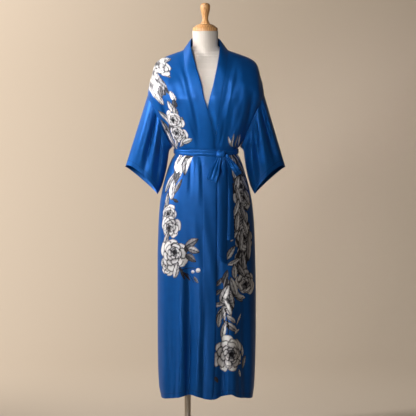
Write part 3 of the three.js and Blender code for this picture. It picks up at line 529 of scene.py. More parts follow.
def cloth(name, points, wall, material, wraps=False, values=None, edge="first"):
    """A closed thin shell about a grid of middle points in mm. Its UVs are metres of cloth, the second
    one from the row of the free edge, where its hem is stitched."""
    rows, columns = points.shape[:2]
    normals = grid_normals(points, wraps)
    layers = [points + normals * wall / 2, points - normals * wall / 2]
    spots = np.concatenate([layer.reshape(-1, 3) for layer in layers]) / 1000
    half = rows * columns
    i, j = np.meshgrid(np.arange(rows - 1), np.arange(columns if wraps else columns - 1), indexing="ij")
    i, j = i.ravel(), j.ravel()
    nxt = (j + 1) % columns
    here, above = i * columns, (i + 1) * columns
    quads = np.stack([here + j, here + nxt, above + nxt, above + j], 1)
    faces = [quads, quads[:, ::-1] + half]
    along = np.arange(columns if wraps else columns - 1)
    after = (along + 1) % columns
    low, high = np.zeros_like(along), (rows - 1) * columns
    faces.append(np.stack([low + along, half + along, half + after, low + after], 1))
    faces.append(np.stack([high + along, high + after, half + high + after, half + high + along], 1))
    if not wraps:
        up = np.arange(rows - 1) * columns
        end = up + columns - 1
        faces.append(np.stack([up, up + columns, half + up + columns, half + up], 1))
        faces.append(np.stack([end, half + end, half + end + columns, end + columns], 1))
    faces = np.concatenate(faces)
    mesh = bpy.data.meshes.new(name)
    mesh.vertices.add(len(spots))
    mesh.vertices.foreach_set("co", spots.astype(np.float32).ravel())
    mesh.loops.add(faces.size)
    mesh.loops.foreach_set("vertex_index", faces.astype(np.int32).ravel())
    mesh.polygons.add(len(faces))
    mesh.polygons.foreach_set("loop_start", np.arange(0, faces.size, 4, dtype=np.int32))
    mesh.update(calc_edges=True)
    mesh.polygons.foreach_set("use_smooth", np.ones(len(faces), bool))
    rim = np.zeros((rows, columns), bool)
    rim[[0, -1]] = True
    if not wraps:
        rim[:, [0, -1]] = True
    rim = np.tile(rim.ravel(), 2)
    ends = np.empty(len(mesh.edges) * 2, np.int32)
    mesh.edges.foreach_get("vertices", ends)
    ends = ends.reshape(-1, 2)
    sharp = rim[ends].all(1) & ((ends[:, 0] < half) == (ends[:, 1] < half))
    mesh.attributes.new("sharp_edge", "BOOLEAN", "EDGE").data.foreach_set("value", sharp)
    up = run_along(points, 0)
    if edge == "last":
        up = up[-1:] - up
    spread = np.stack([run_along(points, 1), up], 2).reshape(-1, 2) / 1000
    uv = np.tile(spread, (2, 1))[faces.ravel()]
    mesh.uv_layers.new(name="cloth").data.foreach_set("uv", uv.astype(np.float32).ravel())
    for key, value in (values or {}).items():
        both = np.tile(np.asarray(value, np.float32).ravel(), 2)
        mesh.attributes.new(key, "FLOAT", "POINT").data.foreach_set("value", both)
    mesh.materials.append(material)
    piece = bpy.data.objects.new(name, mesh)
    bpy.context.scene.collection.objects.link(piece)
    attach(piece, "root")
    return piece


SATIN_COLOUR = 0x0E58A8
SATIN_SHADE = 0x0C4A90
STITCH_COLOUR = 0x0A3C78
SATIN_RIB = 1.3  # mm; the real floats lie 0.3 mm apart, drawn coarser so that they show
SATIN_SHINE = {
    "Roughness": 0.45,
    "Metallic": 0.32,
    "Specular IOR Level": 0.15,
    "Anisotropic": 0.3,
    "Sheen Weight": 0.08,
    "Sheen Roughness": 0.4,
    "Sheen Tint": linear(0x9CC4F0),
}
HEM_DEPTH = 19  # mm from the free edge to the line of stitches
STITCH_HALF = 0.9  # mm; a thread is 0.3 mm, drawn coarser so that the line shows
PRINT_TONES = (0x14151B, 0x4A4C55, 0x9A9AA0, 0xDADCE2, 0xF3F4F7)  # black, greys, white
WASH = 0.22  # how far the dye's tone wanders
PRINT_EDGE = 0.35  # mm to each side of a motif's rim over which it blends into the ground


def satin(name, printed, hemmed):
    """Polyester satin: smooth floats that shine along the thread in wide soft bands, and go dark
    where the cloth turns away. The print is dye in the same cloth, so it shines as the ground does."""
    material, tree, shader = new_finish(name)
    uv = add(tree, "UVMap", {}, uv_map="cloth")
    stretched = add(tree, "Mapping", {"Vector": uv, "Scale": (1000 / SATIN_RIB, 60, 1)})
    threads = add(tree, "TexNoise", {"Vector": stretched, "Scale": 1.0, "Detail": 2.0})
    uneven = add(tree, "TexNoise", {"Vector": uv, "Scale": 24.0, "Detail": 4.0})
    shades = {"Color1": linear(SATIN_COLOUR), "Color2": linear(SATIN_SHADE)}
    colour = add(tree, "MixRGB", {"Fac": uneven, **shades})
    if printed:
        cover = add(tree, "Attribute", {}, attribute_name="print_cover").outputs["Fac"]
        tone = add(tree, "Attribute", {}, attribute_name="print_tone").outputs["Fac"]
        wash = add(tree, "TexNoise", {"Vector": uv, "Scale": 130.0, "Detail": 3.0})
        level = add(tree, "Math", {0: tone, 1: WASH / 2}, operation="SUBTRACT")
        uneven_dye = {0: wash, 1: WASH, 2: level}
        washed = add(tree, "Math", uneven_dye, operation="MULTIPLY_ADD")
        ramp = add(tree, "ValToRGB", {"Fac": washed})
        for k, shade in enumerate(PRINT_TONES):
            spot = k / (len(PRINT_TONES) - 1)
            if 0 < k < len(PRINT_TONES) - 1:
                ramp.color_ramp.elements.new(spot)
            ramp.color_ramp.elements[k].position = spot
            ramp.color_ramp.elements[k].color = linear(shade)
        edges = {"From Min": -PRINT_EDGE, "From Max": PRINT_EDGE}
        dyed = add(tree, "MapRange", {"Value": cover, **edges})
        colour = add(tree, "MixRGB", {"Fac": dyed, "Color1": colour, "Color2": ramp})
    bumps = add(tree, "Bump", {"Height": threads, "Strength": 0.1, "Distance": 0.0004})
    if hemmed:
        height = add(tree, "SeparateXYZ", {"Vector": uv}).outputs["Y"]
        stitched = {0: height, 1: HEM_DEPTH / 1000, 2: STITCH_HALF / 1000}
        line = add(tree, "Math", stitched, operation="COMPARE")
        thread = linear(STITCH_COLOUR)
        colour = add(tree, "MixRGB", {"Fac": line, "Color1": colour, "Color2": thread})
        sunk = {"Height": line, "Strength": 0.5, "Distance": 0.001, "Normal": bumps}
        bumps = add(tree, "Bump", sunk, invert=True)
    tangent = add(tree, "Tangent", {}, direction_type="UV_MAP", uv_map="cloth")
    fill(tree, shader, {"Base Color": colour, "Normal": bumps, "Tangent": tangent})
    fill(tree, shader, SATIN_SHINE)
    return material


printed_satin = satin("printed_satin", True, True)
plain_satin = satin("plain_satin", False, False)
hemmed_satin = satin("plain_satin_with_stitched_hem", False, True)
ROW_STEP = 3.1
FRONT_COLUMNS = 100
BACK_COLUMNS = 46
BACK_NECK_COLUMNS = 18
body_rows = panel_rows(ROW_STEP)


def front_panel(side, seam):
    def inner_x(z):
        return look_up(FRONT_EDGES, "z", z, seam)

    shares = even_shares(side, "front", body_rows, inner_x, FRONT_COLUMNS)
    x, z = panel_place(side, "front", body_rows, shares, inner_x)
    y = face_y("front", x, z)
    if side == "left":
        y = y + lap_inset(x, z)
    return np.stack([x, y, z], 2)


def back_side(side, neck_x):
    """x and z of the back on one side of its middle columns."""

    def inner_x(z):
        rise = (z - BACK_MIDDLE["start_z"]) / (NECK_SIDE_Z - BACK_MIDDLE["start_z"])
        return math.copysign(1, neck_x) * mix(BACK_MIDDLE["half_x"], abs(neck_x), smooth(rise))

    shares = even_shares(side, "back", body_rows, inner_x, BACK_COLUMNS)
    return panel_place(side, "back", body_rows, shares, inner_x)


def back_panel():
    right_x, right_z = back_side("right", -NECK_SIDE_X)
    left_x, left_z = back_side("left", NECK_SIDE_X * LEFT_SCALE)
    across = np.cos(np.linspace(0, np.pi, BACK_NECK_COLUMNS + 2))[None, 1:-1]
    start_x, end_x = right_x[:, -1:], left_x[:, -1:]
    x = mix(start_x, end_x, (1 - across) / 2)
    out_z, in_z, yoke = (column[:, None] for column in body_rows)
    rise = BACK_NECK_RISE * (1 - across**2) * yoke**4
    z = right_z[:, -1:] + rise + hem_lift("back", x, out_z) - hem_lift("back", start_x, out_z)
    x = np.concatenate([right_x, x, left_x[:, ::-1]], 1)
    z = np.concatenate([right_z, z, left_z[:, ::-1]], 1)
    return np.stack([x, face_y("back", x, z), z], 2)


right_points = front_panel("right", "upper_seam")
left_points = front_panel("left", "under_seam")
back_points = back_panel()


# Rings of a rose from the outside in: how far each reaches, how many petals it has fewer than the
# rose's count, its turn, and how far its middle drifts
ROSE_RINGS = table("""
    reach fewer turn drift
    1.0 2 0.0 0.0
    0.8 2 0.4 0.04
    0.6 3 0.75 0.08
    0.41 3 0.2 0.11
    0.24 4 0.6 0.13
""")


def rose(u, v, count, turn):
    """A full-blown rose of overlapping petals: how far inside its outline, and its tone."""
    inside, tone = np.full(u.shape, -9.0), np.full(u.shape, 0.5)
    for reach, fewer, skew, drift in zip(*ROSE_RINGS.values()):
        right, up = u - drift * math.cos(turn + 2), v - drift * math.sin(turn + 2)
        radius = np.hypot(right, up)
        petals = max(3, count - fewer)
        swirl = skew + 0.55 * radius / reach + 0.1 * np.sin(3 * right + turn)
        place = (np.arctan2(up, right) - turn) * petals / (2 * np.pi) + swirl
        petal = np.round(place)
        off = place - petal
        size = reach * (0.9 + 0.1 * np.sin(2.4 * petal + 4 * reach + turn))
        ragged = 0.03 * np.abs(np.sin(7 * off + petal))
        edge = size * (1 - 0.2 * np.abs(2 * off) ** 3 - ragged)
        deep = edge - radius
        streaks = smooth(np.sin(23 * off + 2 * petal)) * (1 - smooth(radius / size - 0.2))
        grey = 0.98 - 0.6 * smooth((0.9 - radius / size) / 0.5) - 0.22 * streaks
        grey = grey + 0.12 * np.sin(1.9 * petal + 6 * reach)
        grey = grey - 0.45 * bump(0.5 - np.abs(off), 0.09) - 0.7 * bump(deep, 0.045)
        tone = np.where(deep > -0.02, grey, tone)
        inside = np.maximum(inside, deep)
    return inside, tone - 0.6 * bump(radius, 0.12)


def leaf(u, v, slim, seed):
    """A pointed leaf from u -1 to 1, one half lighter: how far inside its outline, and its tone."""
    along = np.clip((u + 1) / 2, 0, 1)
    notched = 1 + 0.1 * np.abs(np.sin(5 * np.pi * along + seed))
    half = slim * np.sin(np.pi * along**0.85) ** 0.8 * notched
    off = v - 0.2 * slim * np.sin(np.pi * along + seed)
    inside = np.where(np.abs(u) > 1, 1 - np.abs(u) - np.abs(off), half - np.abs(off))
    veins = bump(np.sin(np.pi * (along * 4 - np.abs(off) / slim * 0.8)), 0.3)
    tone = np.where(off > 0, 0.97, 0.66) - 0.25 * veins
    return inside, tone - 0.5 * bump(off / slim, 0.14) - 0.6 * bump(inside / slim, 0.2)


def blot(u, v, slim, seed):
    """A dark mass of foliage with ragged edges and a few pale strokes in it."""
    angle = np.arctan2(v, u * slim)
    edge = 0.86 + 0.14 * np.abs(np.sin(4.5 * angle + seed)) + 0.05 * np.sin(7 * angle - seed)
    inside = (edge - np.hypot(u, v / slim)) * slim
    strokes = np.sin(9 * v / slim + 4 * np.sin(3 * u + seed))
    return inside, 0.55 + 2.4 * smooth(strokes - 0.2)


def stem(u, v, slim, seed):
    """A thin dark stem from u -1 to 1, gently bowed."""
    bowed = v - 0.12 * (1 - u * u)
    inside = slim - np.abs(bowed)
    inside = np.where(np.abs(u) > 1, 1 - np.abs(u), inside)
    return inside, np.zeros(u.shape)


def bud(u, v, slim, seed):
    """A small round bud, pale on top."""
    reach = np.hypot(u, v)
    return 1 - reach, 1 - 0.5 * smooth(0.3 - v)


# Print, seen from the front in mm. A line is one motif: its kind, the x and z of its middle, its half
# length, petals or slimness, turn in degrees, and shade. Later ones lie over earlier ones.
PRINT = {
    "right": """
    blot -198 1400 74 0.34 100 0.1
    leaf -160 1484 30 0.3 24 0.45
    leaf -154 1462 24 0.36 8 0.9
    leaf -163 1440 26 0.34 336 0.8
    leaf -166 1416 28 0.34 310 0.9
    leaf -214 1372 52 0.2 99 0.85
    leaf -203 1384 56 0.2 97 1
    leaf -189 1380 54 0.2 88 0.9
    leaf -176 1386 44 0.22 78 1
    rose -184 1444 44 7 10 1
    leaf -206 1344 34 0.26 104 1
    leaf -193 1334 44 0.2 92 0.75
    leaf -181 1330 42 0.2 84 1
    leaf -171 1342 26 0.28 66 0.5
    leaf -166 1372 20 0.34 300 0.7
    leaf -126 1325 22 0.46 86 1
    leaf -118 1297 17 0.5 60 0.3
    leaf -130 1284 26 0.4 96 0.95
    leaf -116 1268 22 0.4 70 0.7
    blot -122 1196 52 0.5 94 0.1
    leaf -148 1240 36 0.34 112 0.75
    leaf -146 1196 44 0.3 102 0.55
    leaf -134 1160 40 0.3 110 0.9
    leaf -92 1224 26 0.4 62 0.9
    rose -119 1234 40 7 40 1
    rose -106 1180 40 7 200 1
    leaf -112 1142 28 0.32 86 0.9
    leaf -84 1148 26 0.34 60 0.8
    leaf -68 1152 24 0.42 14 0.95
    leaf -145 1048 58 0.2 63 0.55
    blot -100 1050 46 0.5 100 0.12
    leaf -104 1072 44 0.34 108 0.95
    leaf -90 1060 56 0.32 96 1
    leaf -72 1066 48 0.3 282 1
    leaf -56 1095 14 0.6 40 0.25
    blot -114 1005 26 0.6 80 0.1
    leaf -138 990 44 0.3 72 0.7
    leaf -124 966 44 0.36 100 0.75
    leaf -103 978 32 0.3 76 0.4
    leaf -114 923 15 0.4 340 0.15
    leaf -149 916 40 0.3 98 0.7
    leaf -159 869 46 0.2 92 0.65
    rose -139 868 44 7 20 0.8
    rose -136 822 52 7 60 0.85
    leaf -153 771 40 0.3 75 0.75
    rose -146 672 44 7 20 0.95
    rose -124 715 72 8 150 1
    leaf -112 655 34 0.42 80 0.9
    blot -71 740 14 0.7 90 0.1
    leaf -52 762 30 0.5 24 0.55
    leaf -46 732 26 0.5 350 0.7
    leaf -56 702 26 0.48 332 0.4
    leaf -87 643 28 0.2 292 0.12
    leaf -71 631 24 0.2 306 0.15
    stem -64 660 30 0.05 8 0
    stem -56 627 24 0.06 310 0
    bud -48 650 7 1 0 0.9
    bud -28 656 9 1 0 1
    leaf -36 619 17 0.34 302 0.5
    """,
    "left": """
    leaf 92 1150 26 0.16 62 0.94
    leaf 104 1154 30 0.15 76 1
    leaf 118 1150 30 0.16 84 0.59
    leaf 131 1154 28 0.18 72 1
    leaf 141 1138 20 0.2 50 0.87
    blot 124 1048 60 0.5 98 0.28
    blot 138 943 72 0.56 92 0.22
    blot 144 802 84 0.5 90 0.22
    blot 140 690 64 0.5 94 0.22
    rose 134 1016 44 7 70 0.74
    rose 146 930 50 7 200 0.81
    rose 132 856 46 7 320 0.68
    rose 156 776 52 7 130 0.84
    leaf 100 1083 30 0.3 118 0.73
    leaf 124 1091 34 0.28 88 1
    leaf 108 1036 36 0.26 96 1
    leaf 139 1044 38 0.26 72 0.79
    leaf 120 990 38 0.28 122 1
    leaf 151 990 36 0.28 66 1
    leaf 128 943 40 0.24 92 0.86
    leaf 159 931 30 0.3 62 1
    leaf 118 896 38 0.24 118 1
    leaf 147 877 40 0.24 80 0.73
    leaf 124 842 40 0.26 104 1
    leaf 155 818 36 0.26 66 1
    leaf 168 748 62 0.22 92 0.8
    leaf 139 771 46 0.2 100 0.87
    leaf 112 787 28 0.26 130 1
    leaf 100 724 34 0.34 128 0.79
    leaf 112 689 32 0.28 158 1
    leaf 147 686 44 0.22 84 0.8
    rose 158 606 58 7 90 0.86
    leaf 139 654 34 0.3 60 0.66
    leaf 112 650 30 0.42 82 1
    leaf 53 611 24 0.34 126 0.46
    leaf 77 631 30 0.36 104 0.4
    leaf 48 572 20 0.4 150 0.46
    blot 92 562 64 0.36 84 0.2
    leaf 74 566 42 0.36 112 1
    leaf 122 560 40 0.34 50 0.75
    leaf 84 516 40 0.34 70 1
    leaf 60 486 40 0.3 118 1
    leaf 100 440 40 0.3 40 0.8
    leaf 70 424 36 0.3 98 1
    leaf 110 592 42 0.34 66 1
    leaf 102 541 36 0.16 76 0.95
    leaf 135 549 26 0.32 12 1
    leaf 53 522 22 0.4 170 0.8
    stem 81 452 56 0.035 86 0
    leaf 55 467 34 0.28 104 0.8
    leaf 71 490 30 0.22 80 0.87
    leaf 100 467 26 0.34 42 1
    leaf 128 463 28 0.16 300 0.9
    leaf 122 416 20 0.2 330 1
    leaf 141 342 26 0.3 84 1
    leaf 149 296 28 0.34 108 0.62
    leaf 131 256 18 0.3 70 0.87
    rose 90 330 82 9 30 1.0
    leaf 44 233 14 0.5 250 0.25
    """,
    "back": """
    stem -120 1330 110 0.02 70 0
    leaf -150 1400 40 0.34 120 0.8
    leaf -92 1352 38 0.36 20 0.9
    blot -122 1330 34 0.6 80 0.12
    rose -134 1368 48 7 20 1
    leaf -152 1296 40 0.32 250 0.6
    rose -116 1284 34 6 70 0.9
    leaf -94 1236 34 0.34 300 0.5
    stem 96 900 150 0.015 95 0
    blot 102 900 70 0.4 95 0.12
    leaf 126 980 44 0.3 60 0.6
    leaf 76 966 42 0.3 125 0.7
    leaf 110 920 46 0.26 80 0.6
    leaf 84 880 40 0.3 120 0.55
    rose 96 800 66 8 50 1
    leaf 152 790 40 0.34 340 0.7
    leaf 40 760 38 0.34 200 0.8
    rose 124 706 42 7 140 0.8
    leaf 76 690 38 0.34 240 0.5
    stem -70 430 150 0.015 80 0
    blot -74 470 60 0.36 84 0.12
    leaf -88 530 44 0.3 110 0.6
    leaf -44 488 42 0.32 50 0.8
    leaf -106 450 40 0.32 150 0.55
    rose -70 356 78 9 10 1
    rose -128 292 40 7 80 0.75
    leaf -8 300 42 0.34 320 0.7
    leaf -84 250 38 0.34 250 0.45
    """,
}
MOTIFS = {"rose": rose, "leaf": leaf, "blot": blot, "stem": stem, "bud": bud}


def printed(panel, points):
    """Cover and tone of the print at each point: how far inside a motif it lies in mm, and its grey."""
    across, up = run_along(points, 1), points[:, :, 2]
    cover = np.full(across.shape, -9.0)
    tone = np.full(across.shape, 0.5)
    for line in PRINT[panel].strip().splitlines():
        kind, *numbers = line.split()
        x, z, half, form, turn, shade = (float(number) for number in numbers)
        nearest = np.argmin(np.hypot(points[:, :, 0] - x, up - z))
        right, above = across - across.flat[nearest], up - z
        near = np.hypot(right, above) < half * 1.3
        turn = math.radians(turn)
        u = (right[near] * math.cos(turn) + above[near] * math.sin(turn)) / half
        v = (above[near] * math.cos(turn) - right[near] * math.sin(turn)) / half
        last = turn if kind == "rose" else half
        inside, grey = MOTIFS[kind](u, v, form, last)
        inside = inside * half
        tone[near] = np.where(inside > -1.6, grey * shade, tone[near])
        cover[near] = np.maximum(cover[near], inside)
    return {"print_cover": np.clip(cover, -3, 3), "print_tone": np.clip(tone, 0, 1)}


def printed_panel(name, panel, points):
    return cloth(name, points, SATIN_WALL, printed_satin, values=printed(panel, points))


right_front = printed_panel("robe_right_front", "right", right_points)
left_front = printed_panel("robe_left_front", "left", left_points)
robe_back = printed_panel("robe_back", "back", back_points)
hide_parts("right_front")
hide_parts("left_front")
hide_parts("back_panel")

# Neckband: a straight strip of the same satin, folded in half and sewn along both front edges and
# round the neck.
# It stands up a little at the nape and lies flat down both fronts to the hem.
BAND_WALL = 2.4  # mm, folded double
BAND_COLUMNS = 22
COLLAR_LIFT = 41  # how far the band stands up at the side of the neck
COLLAR_START_Z = 1380  # where a front's band begins to stand up
BAND_CROWN = 1.1  # mm that its middle stands over its edges
NAPE_EDGE = {"half_x": 55.5, "y": 59, "rise": 6}


def front_band(side, seam, edge):
    out_z, in_z = (column[:, None] for column in body_rows[:2])
    lift = COLLAR_LIFT * smooth((in_z - COLLAR_START_Z) / (NECK_SIDE_Z - COLLAR_START_Z))
    share = np.linspace(0, 1, BAND_COLUMNS)[None, :]
    seam_x = look_up(FRONT_EDGES, "z", in_z, seam)
    x = mix(seam_x, look_up(FRONT_EDGES, "z", in_z + lift, edge), share)
    z = in_z + lift * share + hem_lift("front", x, out_z)
    crown = BAND_CROWN * np.sqrt(np.clip(1 - (2 * share - 1) ** 2, 0, 1))
    y = face_y("front", x, z) - crown
    if side == "left":
        y = y + lap_inset(x, z)
    points = np.stack([x, y, z], 2)
    sign = 1 if side == "right" else -1
    points[:, 0, 0] += sign * SEAM_GAP
    return points


def nape_band(neckline):
    angle = np.linspace(0, np.pi, neckline.shape[0])
    edge = np.stack(
        [
            -NAPE_EDGE["half_x"] * np.cos(angle),
            np.maximum(NAPE_EDGE["y"] * np.sin(angle), SEAM_GAP / 2),
            NECK_SIDE_Z + COLLAR_LIFT + NAPE_EDGE["rise"] * np.sin(angle),
        ],
        1,
    )
    share = np.linspace(0, 1, BAND_COLUMNS)[:, None, None]
    points = mix(neckline[None], edge[None], share)
    points[0, :, 2] += SEAM_GAP
    return points


neck_columns = slice(BACK_COLUMNS - 1, BACK_COLUMNS + BACK_NECK_COLUMNS + 1)
right_band_points = front_band("right", "upper_seam", "upper_edge")
left_band_points = front_band("left", "under_seam", "under_edge")
nape_points = nape_band(back_points[-1, neck_columns])
band_right = cloth("neckband_over_right_front", right_band_points, BAND_WALL, plain_satin)
band_left = cloth("neckband_over_left_front", left_band_points, BAND_WALL, plain_satin)
band_back = cloth("neckband_at_nape", nape_points, BAND_WALL, plain_satin)
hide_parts("neckband_right")
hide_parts("neckband_left")
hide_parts("neckband_back")

# Sleeves: two straight wide ones of plain satin, each one piece sewn to the long dropped armhole.
# They hang open from the shoulder, with a narrow turned cuff hem.
SLEEVES = (
    {"name": "right", "outer_x": -311, "inner_x": -187},
    {"name": "left", "outer_x": 311, "inner_x": 194},
)
CUFF_HALF_DEPTH = 44
CUFF_SQUARENESS = 0.75  # below 1 flattens the front and the back of a sleeve
CUFF_SWEEP = 16  # how far a sleeve's outer edge lies behind its inner one
CUFF_OUTER_Z = 1046
CUFF_INNER_Z = 942
CUFF_FRONT_RISE = 32
CUFF_BACK_RISE = 4
SLEEVE_FILL = 0.12  # how much deeper the sleeve is half way down
SLEEVE_SPREAD = 1.7  # above 1 its columns lie closer together towards the top
SLEEVE_SEAM_STEP = 1.05  # step off the sleeve seam, and more to the side at the underarm
UNDERARM_STEP = 2.1
SLEEVE_ROWS = 120
SLEEVE_COLUMNS = 150
# How far a sleeve's lower edge bows towards the body on its way down
SLEEVE_EDGE = table("""
    down shift
    0 0
    0.08 -8
    0.25 -3
    0.5 4
    0.8 7
    0.93 4
    1 0
""")
# Folds down a sleeve: angle round it from the top over the front, width, depth, and where it is deepest
SLEEVE_FOLDS = {
    "right": table("""
    angle width depth peak
    60 16 6 0.5
    97 9 -21 0.35
    117 9 8 0.4
    141 12 -17 0.35
    238 16 -8 0.45
    290 16 -9 0.35
    34 9 -3 0.6
    78 6 3 0.6
    262 9 4 0.6
    312 8 4 0.5
    """),
    "left": table("""
    angle width depth peak
    62 13 -19 0.35
    92 12 8 0.4
    120 13 -18 0.5
    238 16 -8 0.45
    290 16 -9 0.35
    38 8 4 0.5
    76 6 3 0.6
    107 6 -3 0.5
    146 8 5 0.5
    262 9 4 0.6
    312 8 4 0.5
    """),
}


def sleeve_points(sleeve):
    side, sign = sleeve["name"], math.copysign(1, sleeve["outer_x"])
    angle = np.arange(SLEEVE_COLUMNS) * 2 * np.pi / SLEEVE_COLUMNS
    turn = np.where(angle <= np.pi, angle, 2 * np.pi - angle)
    yoke = 1 - (turn / np.pi) ** SLEEVE_SPREAD
    z = mix(UNDERARM_Z, SHOULDER_END_Z, yoke)
    x = sign * look_up(ARMHOLE, "z", z, side)
    y = np.where(angle <= np.pi, face_y("front", x, z), face_y("back", x, z))
    start = np.stack([x, y, z], 1)
    around, outward = np.sin(angle), np.cos(angle)
    depth = CUFF_HALF_DEPTH * np.sign(around) * np.abs(around) ** CUFF_SQUARENESS
    rise = np.where(around > 0, CUFF_FRONT_RISE, CUFF_BACK_RISE) * np.abs(around)
    cuff_x = mix(sleeve["inner_x"], sleeve["outer_x"], (1 + outward) / 2)
    cuff_z = mix(CUFF_INNER_Z, CUFF_OUTER_Z, (1 + outward) / 2) + rise
    cuff = np.stack([cuff_x, CUFF_SWEEP * outward / 2 - depth, cuff_z], 1)
    away = cuff - start
    away = away / np.linalg.norm(away, axis=1, keepdims=True)
    lower = ((1 - outward) / 2) ** 4
    start = start + away * SLEEVE_SEAM_STEP
    start[:, 0] += sign * UNDERARM_STEP * lower
    down = np.linspace(0, 1, SLEEVE_ROWS)[:, None]
    points = mix(start[None], cuff[None], down[:, :, None])
    middle = np.sin(np.pi * down)
    points[:, :, 1] *= 1 + SLEEVE_FILL * middle
    points[:, :, 0] -= sign * look_up(SLEEVE_EDGE, "down", down, "shift") * lower
    degrees = np.degrees(angle)[None]
    for fold_angle, width, depth, peak in zip(*SLEEVE_FOLDS[side].values()):
        reach = np.sin(np.pi * down ** (math.log(0.5) / math.log(peak)))
        points[:, :, 1] -= np.sign(around) * depth * reach * bump(degrees - fold_angle, width)
    slack = 0.6 * ripple(points[:, :, 0] * 1.3, points[:, :, 2]) * middle * np.abs(around)
    points[:, :, 1] -= np.sign(around) * slack
    return points


for sleeve in SLEEVES:
    points = sleeve_points(sleeve)
    if sleeve["name"] == "right":
        points = points[:, ::-1]
    piece = cloth("sleeve_" + sleeve["name"], points, SATIN_WALL, hemmed_satin, wraps=True, edge="last")
    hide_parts(sleeve["name"] + "_sleeve")

# Sash and bow: a long tie of the same satin, sewn double, pleated by its own pull round the waist.
# It is knotted off centre and tied in a bow with two loops and two hanging ends.
SASH_WALL = 2.4  # mm, folded double
SASH_OFFSET = 3.4  # from the middle of the panels to the middle of the sash
WAIST_Z = 1108
SASH_AROUND = 240
SASH_ROWS = 26
SASH_FRONT = table("""
    x z height
    -119 1109.5 18
    -80 1110 26
    -40 1110 30
    18 1106 24
    61 1104 20
    100 1107 18
    125 1109.5 18
""")
SASH_BACK = table("""
    x z height
    -119 1109.5 18
    -70 1110 30
    0 1109 33
    75 1110 30
    125 1109.5 18
""")
KNOT = {"x": 61, "z": 1103, "width": 34, "height": 26, "depth": 17, "squareness": 0.8}
KNOT_SEAT = 2  # how far the knot sits back into the hollow of the sash
KNOT_WALL = 1.5
# Loops: x, height and width at each end, the gap between the two layers, how far the rear one stands
# off the skirt, how far the top lies in front of the knot's middle, and the rear layer's sideways drift
LOOPS = (
    {
        "name": "right",
        "top": (54, 1090, 15),
        "foot": (25, 1001, 35),
        "gap": 21,
        "stand": 4,
        "forward": 5,
        "drift": -10,
        "flat": (0.205, 0.036),
        "area": 0.0062,
    },
    {
        "name": "left",
        "top": (80.8, 1099, 10),
        "foot": (128, 1022, 22),
        "gap": 20,
        "stand": 9.5,
        "forward": 4.5,
        "drift": 8,
        "flat": (0.19, 0.024),
        "area": 0.0039,
    },
)
TAILS = (
    {
        "name": "front",
        "forward": -3.6,
        "slant": -20,
        "flat": (0.042, 0.413),
        "area": 0.0155,
        "shape": table("""
        z x width
        690 63.5 37
        900 64 36
        1050 63.5 33
        1089.9 62.5 20
        """),
    },
    {
        "name": "back",
        "forward": -5,
        "slant": 2,
        "flat": (0.03, 0.326),
        "area": 0.0072,
        "shape": table("""
        z x width
        773 98 28
        938 97 18
        1045 93 13
        1091 77 8
        """),
    },
)
SKIRT_FACE = 2.2  # mm from the middle of a front to about the outside of the band on it
TAIL_STAND = 3.2  # from there to the middle of a tail
TAIL_CROWN = 1.4  # how far a tail's middle stands out near the knot; a little over twice that at its foot


def sash_points():
    angle = np.arange(SASH_AROUND) * 2 * np.pi / SASH_AROUND
    along = -np.cos(angle)
    half = half_width(along, np.full(SASH_AROUND, float(WAIST_Z)))
    in_front = angle < np.pi
    front, back = (
        [look_up(rows, "x", along * half, column) for column in ("z", "height")]
        for rows in (SASH_FRONT, SASH_BACK)
    )
    middle, height = (np.where(in_front, *pair) for pair in zip(front, back))
    share = np.linspace(-0.5, 0.5, SASH_ROWS)[:, None]
    z = middle + share * height
    x = along * half_width(along + 0 * z, z)
    y = np.where(in_front, face_y("front", x, z), face_y("back", x, z))
    points = np.stack([x, y, z], 2)
    pleats = 1.1 * np.abs(np.sin(np.pi * (2.5 * share + 0.25 * np.sin(2 * angle)))) - 0.5
    return points + grid_normals(points, True) * (SASH_OFFSET + pleats[:, :, None])


def skirt_front(x, z):
    return face_y("front", x, z) - SKIRT_FACE


def knot_y():
    spots = np.array([KNOT["x"] - KNOT["width"] / 2, KNOT["x"]])
    widest = face_y("front", spots, np.full(2, float(KNOT["z"]))).min()
    return widest - SASH_OFFSET - SASH_WALL / 2 + KNOT_SEAT - KNOT["depth"] / 2


def knot_points():
    """The knot: the tie wrapped over itself, with soft pleats that run slantwise over it."""
    up = np.linspace(-0.5, 0.5, 40)[:, None] * np.pi * 0.985
    angle = np.linspace(0, 2 * np.pi, 64, endpoint=False)[None, :]
    square = KNOT["squareness"]

    def squared(value):
        return np.sign(value) * np.abs(value) ** square

    pleat = 1 + 0.05 * np.sin(9 * up + 2.5 * np.cos(angle)) * np.cos(up)
    x = KNOT["x"] + squared(np.cos(up) * np.cos(angle)) * KNOT["width"] / 2 * pleat
    y = knot_y() + squared(np.cos(up) * np.sin(angle)) * KNOT["depth"] / 2 * pleat
    z = KNOT["z"] + squared(np.sin(up)) * KNOT["height"] / 2 + 0 * angle
    return np.stack([x, y, z], 2)


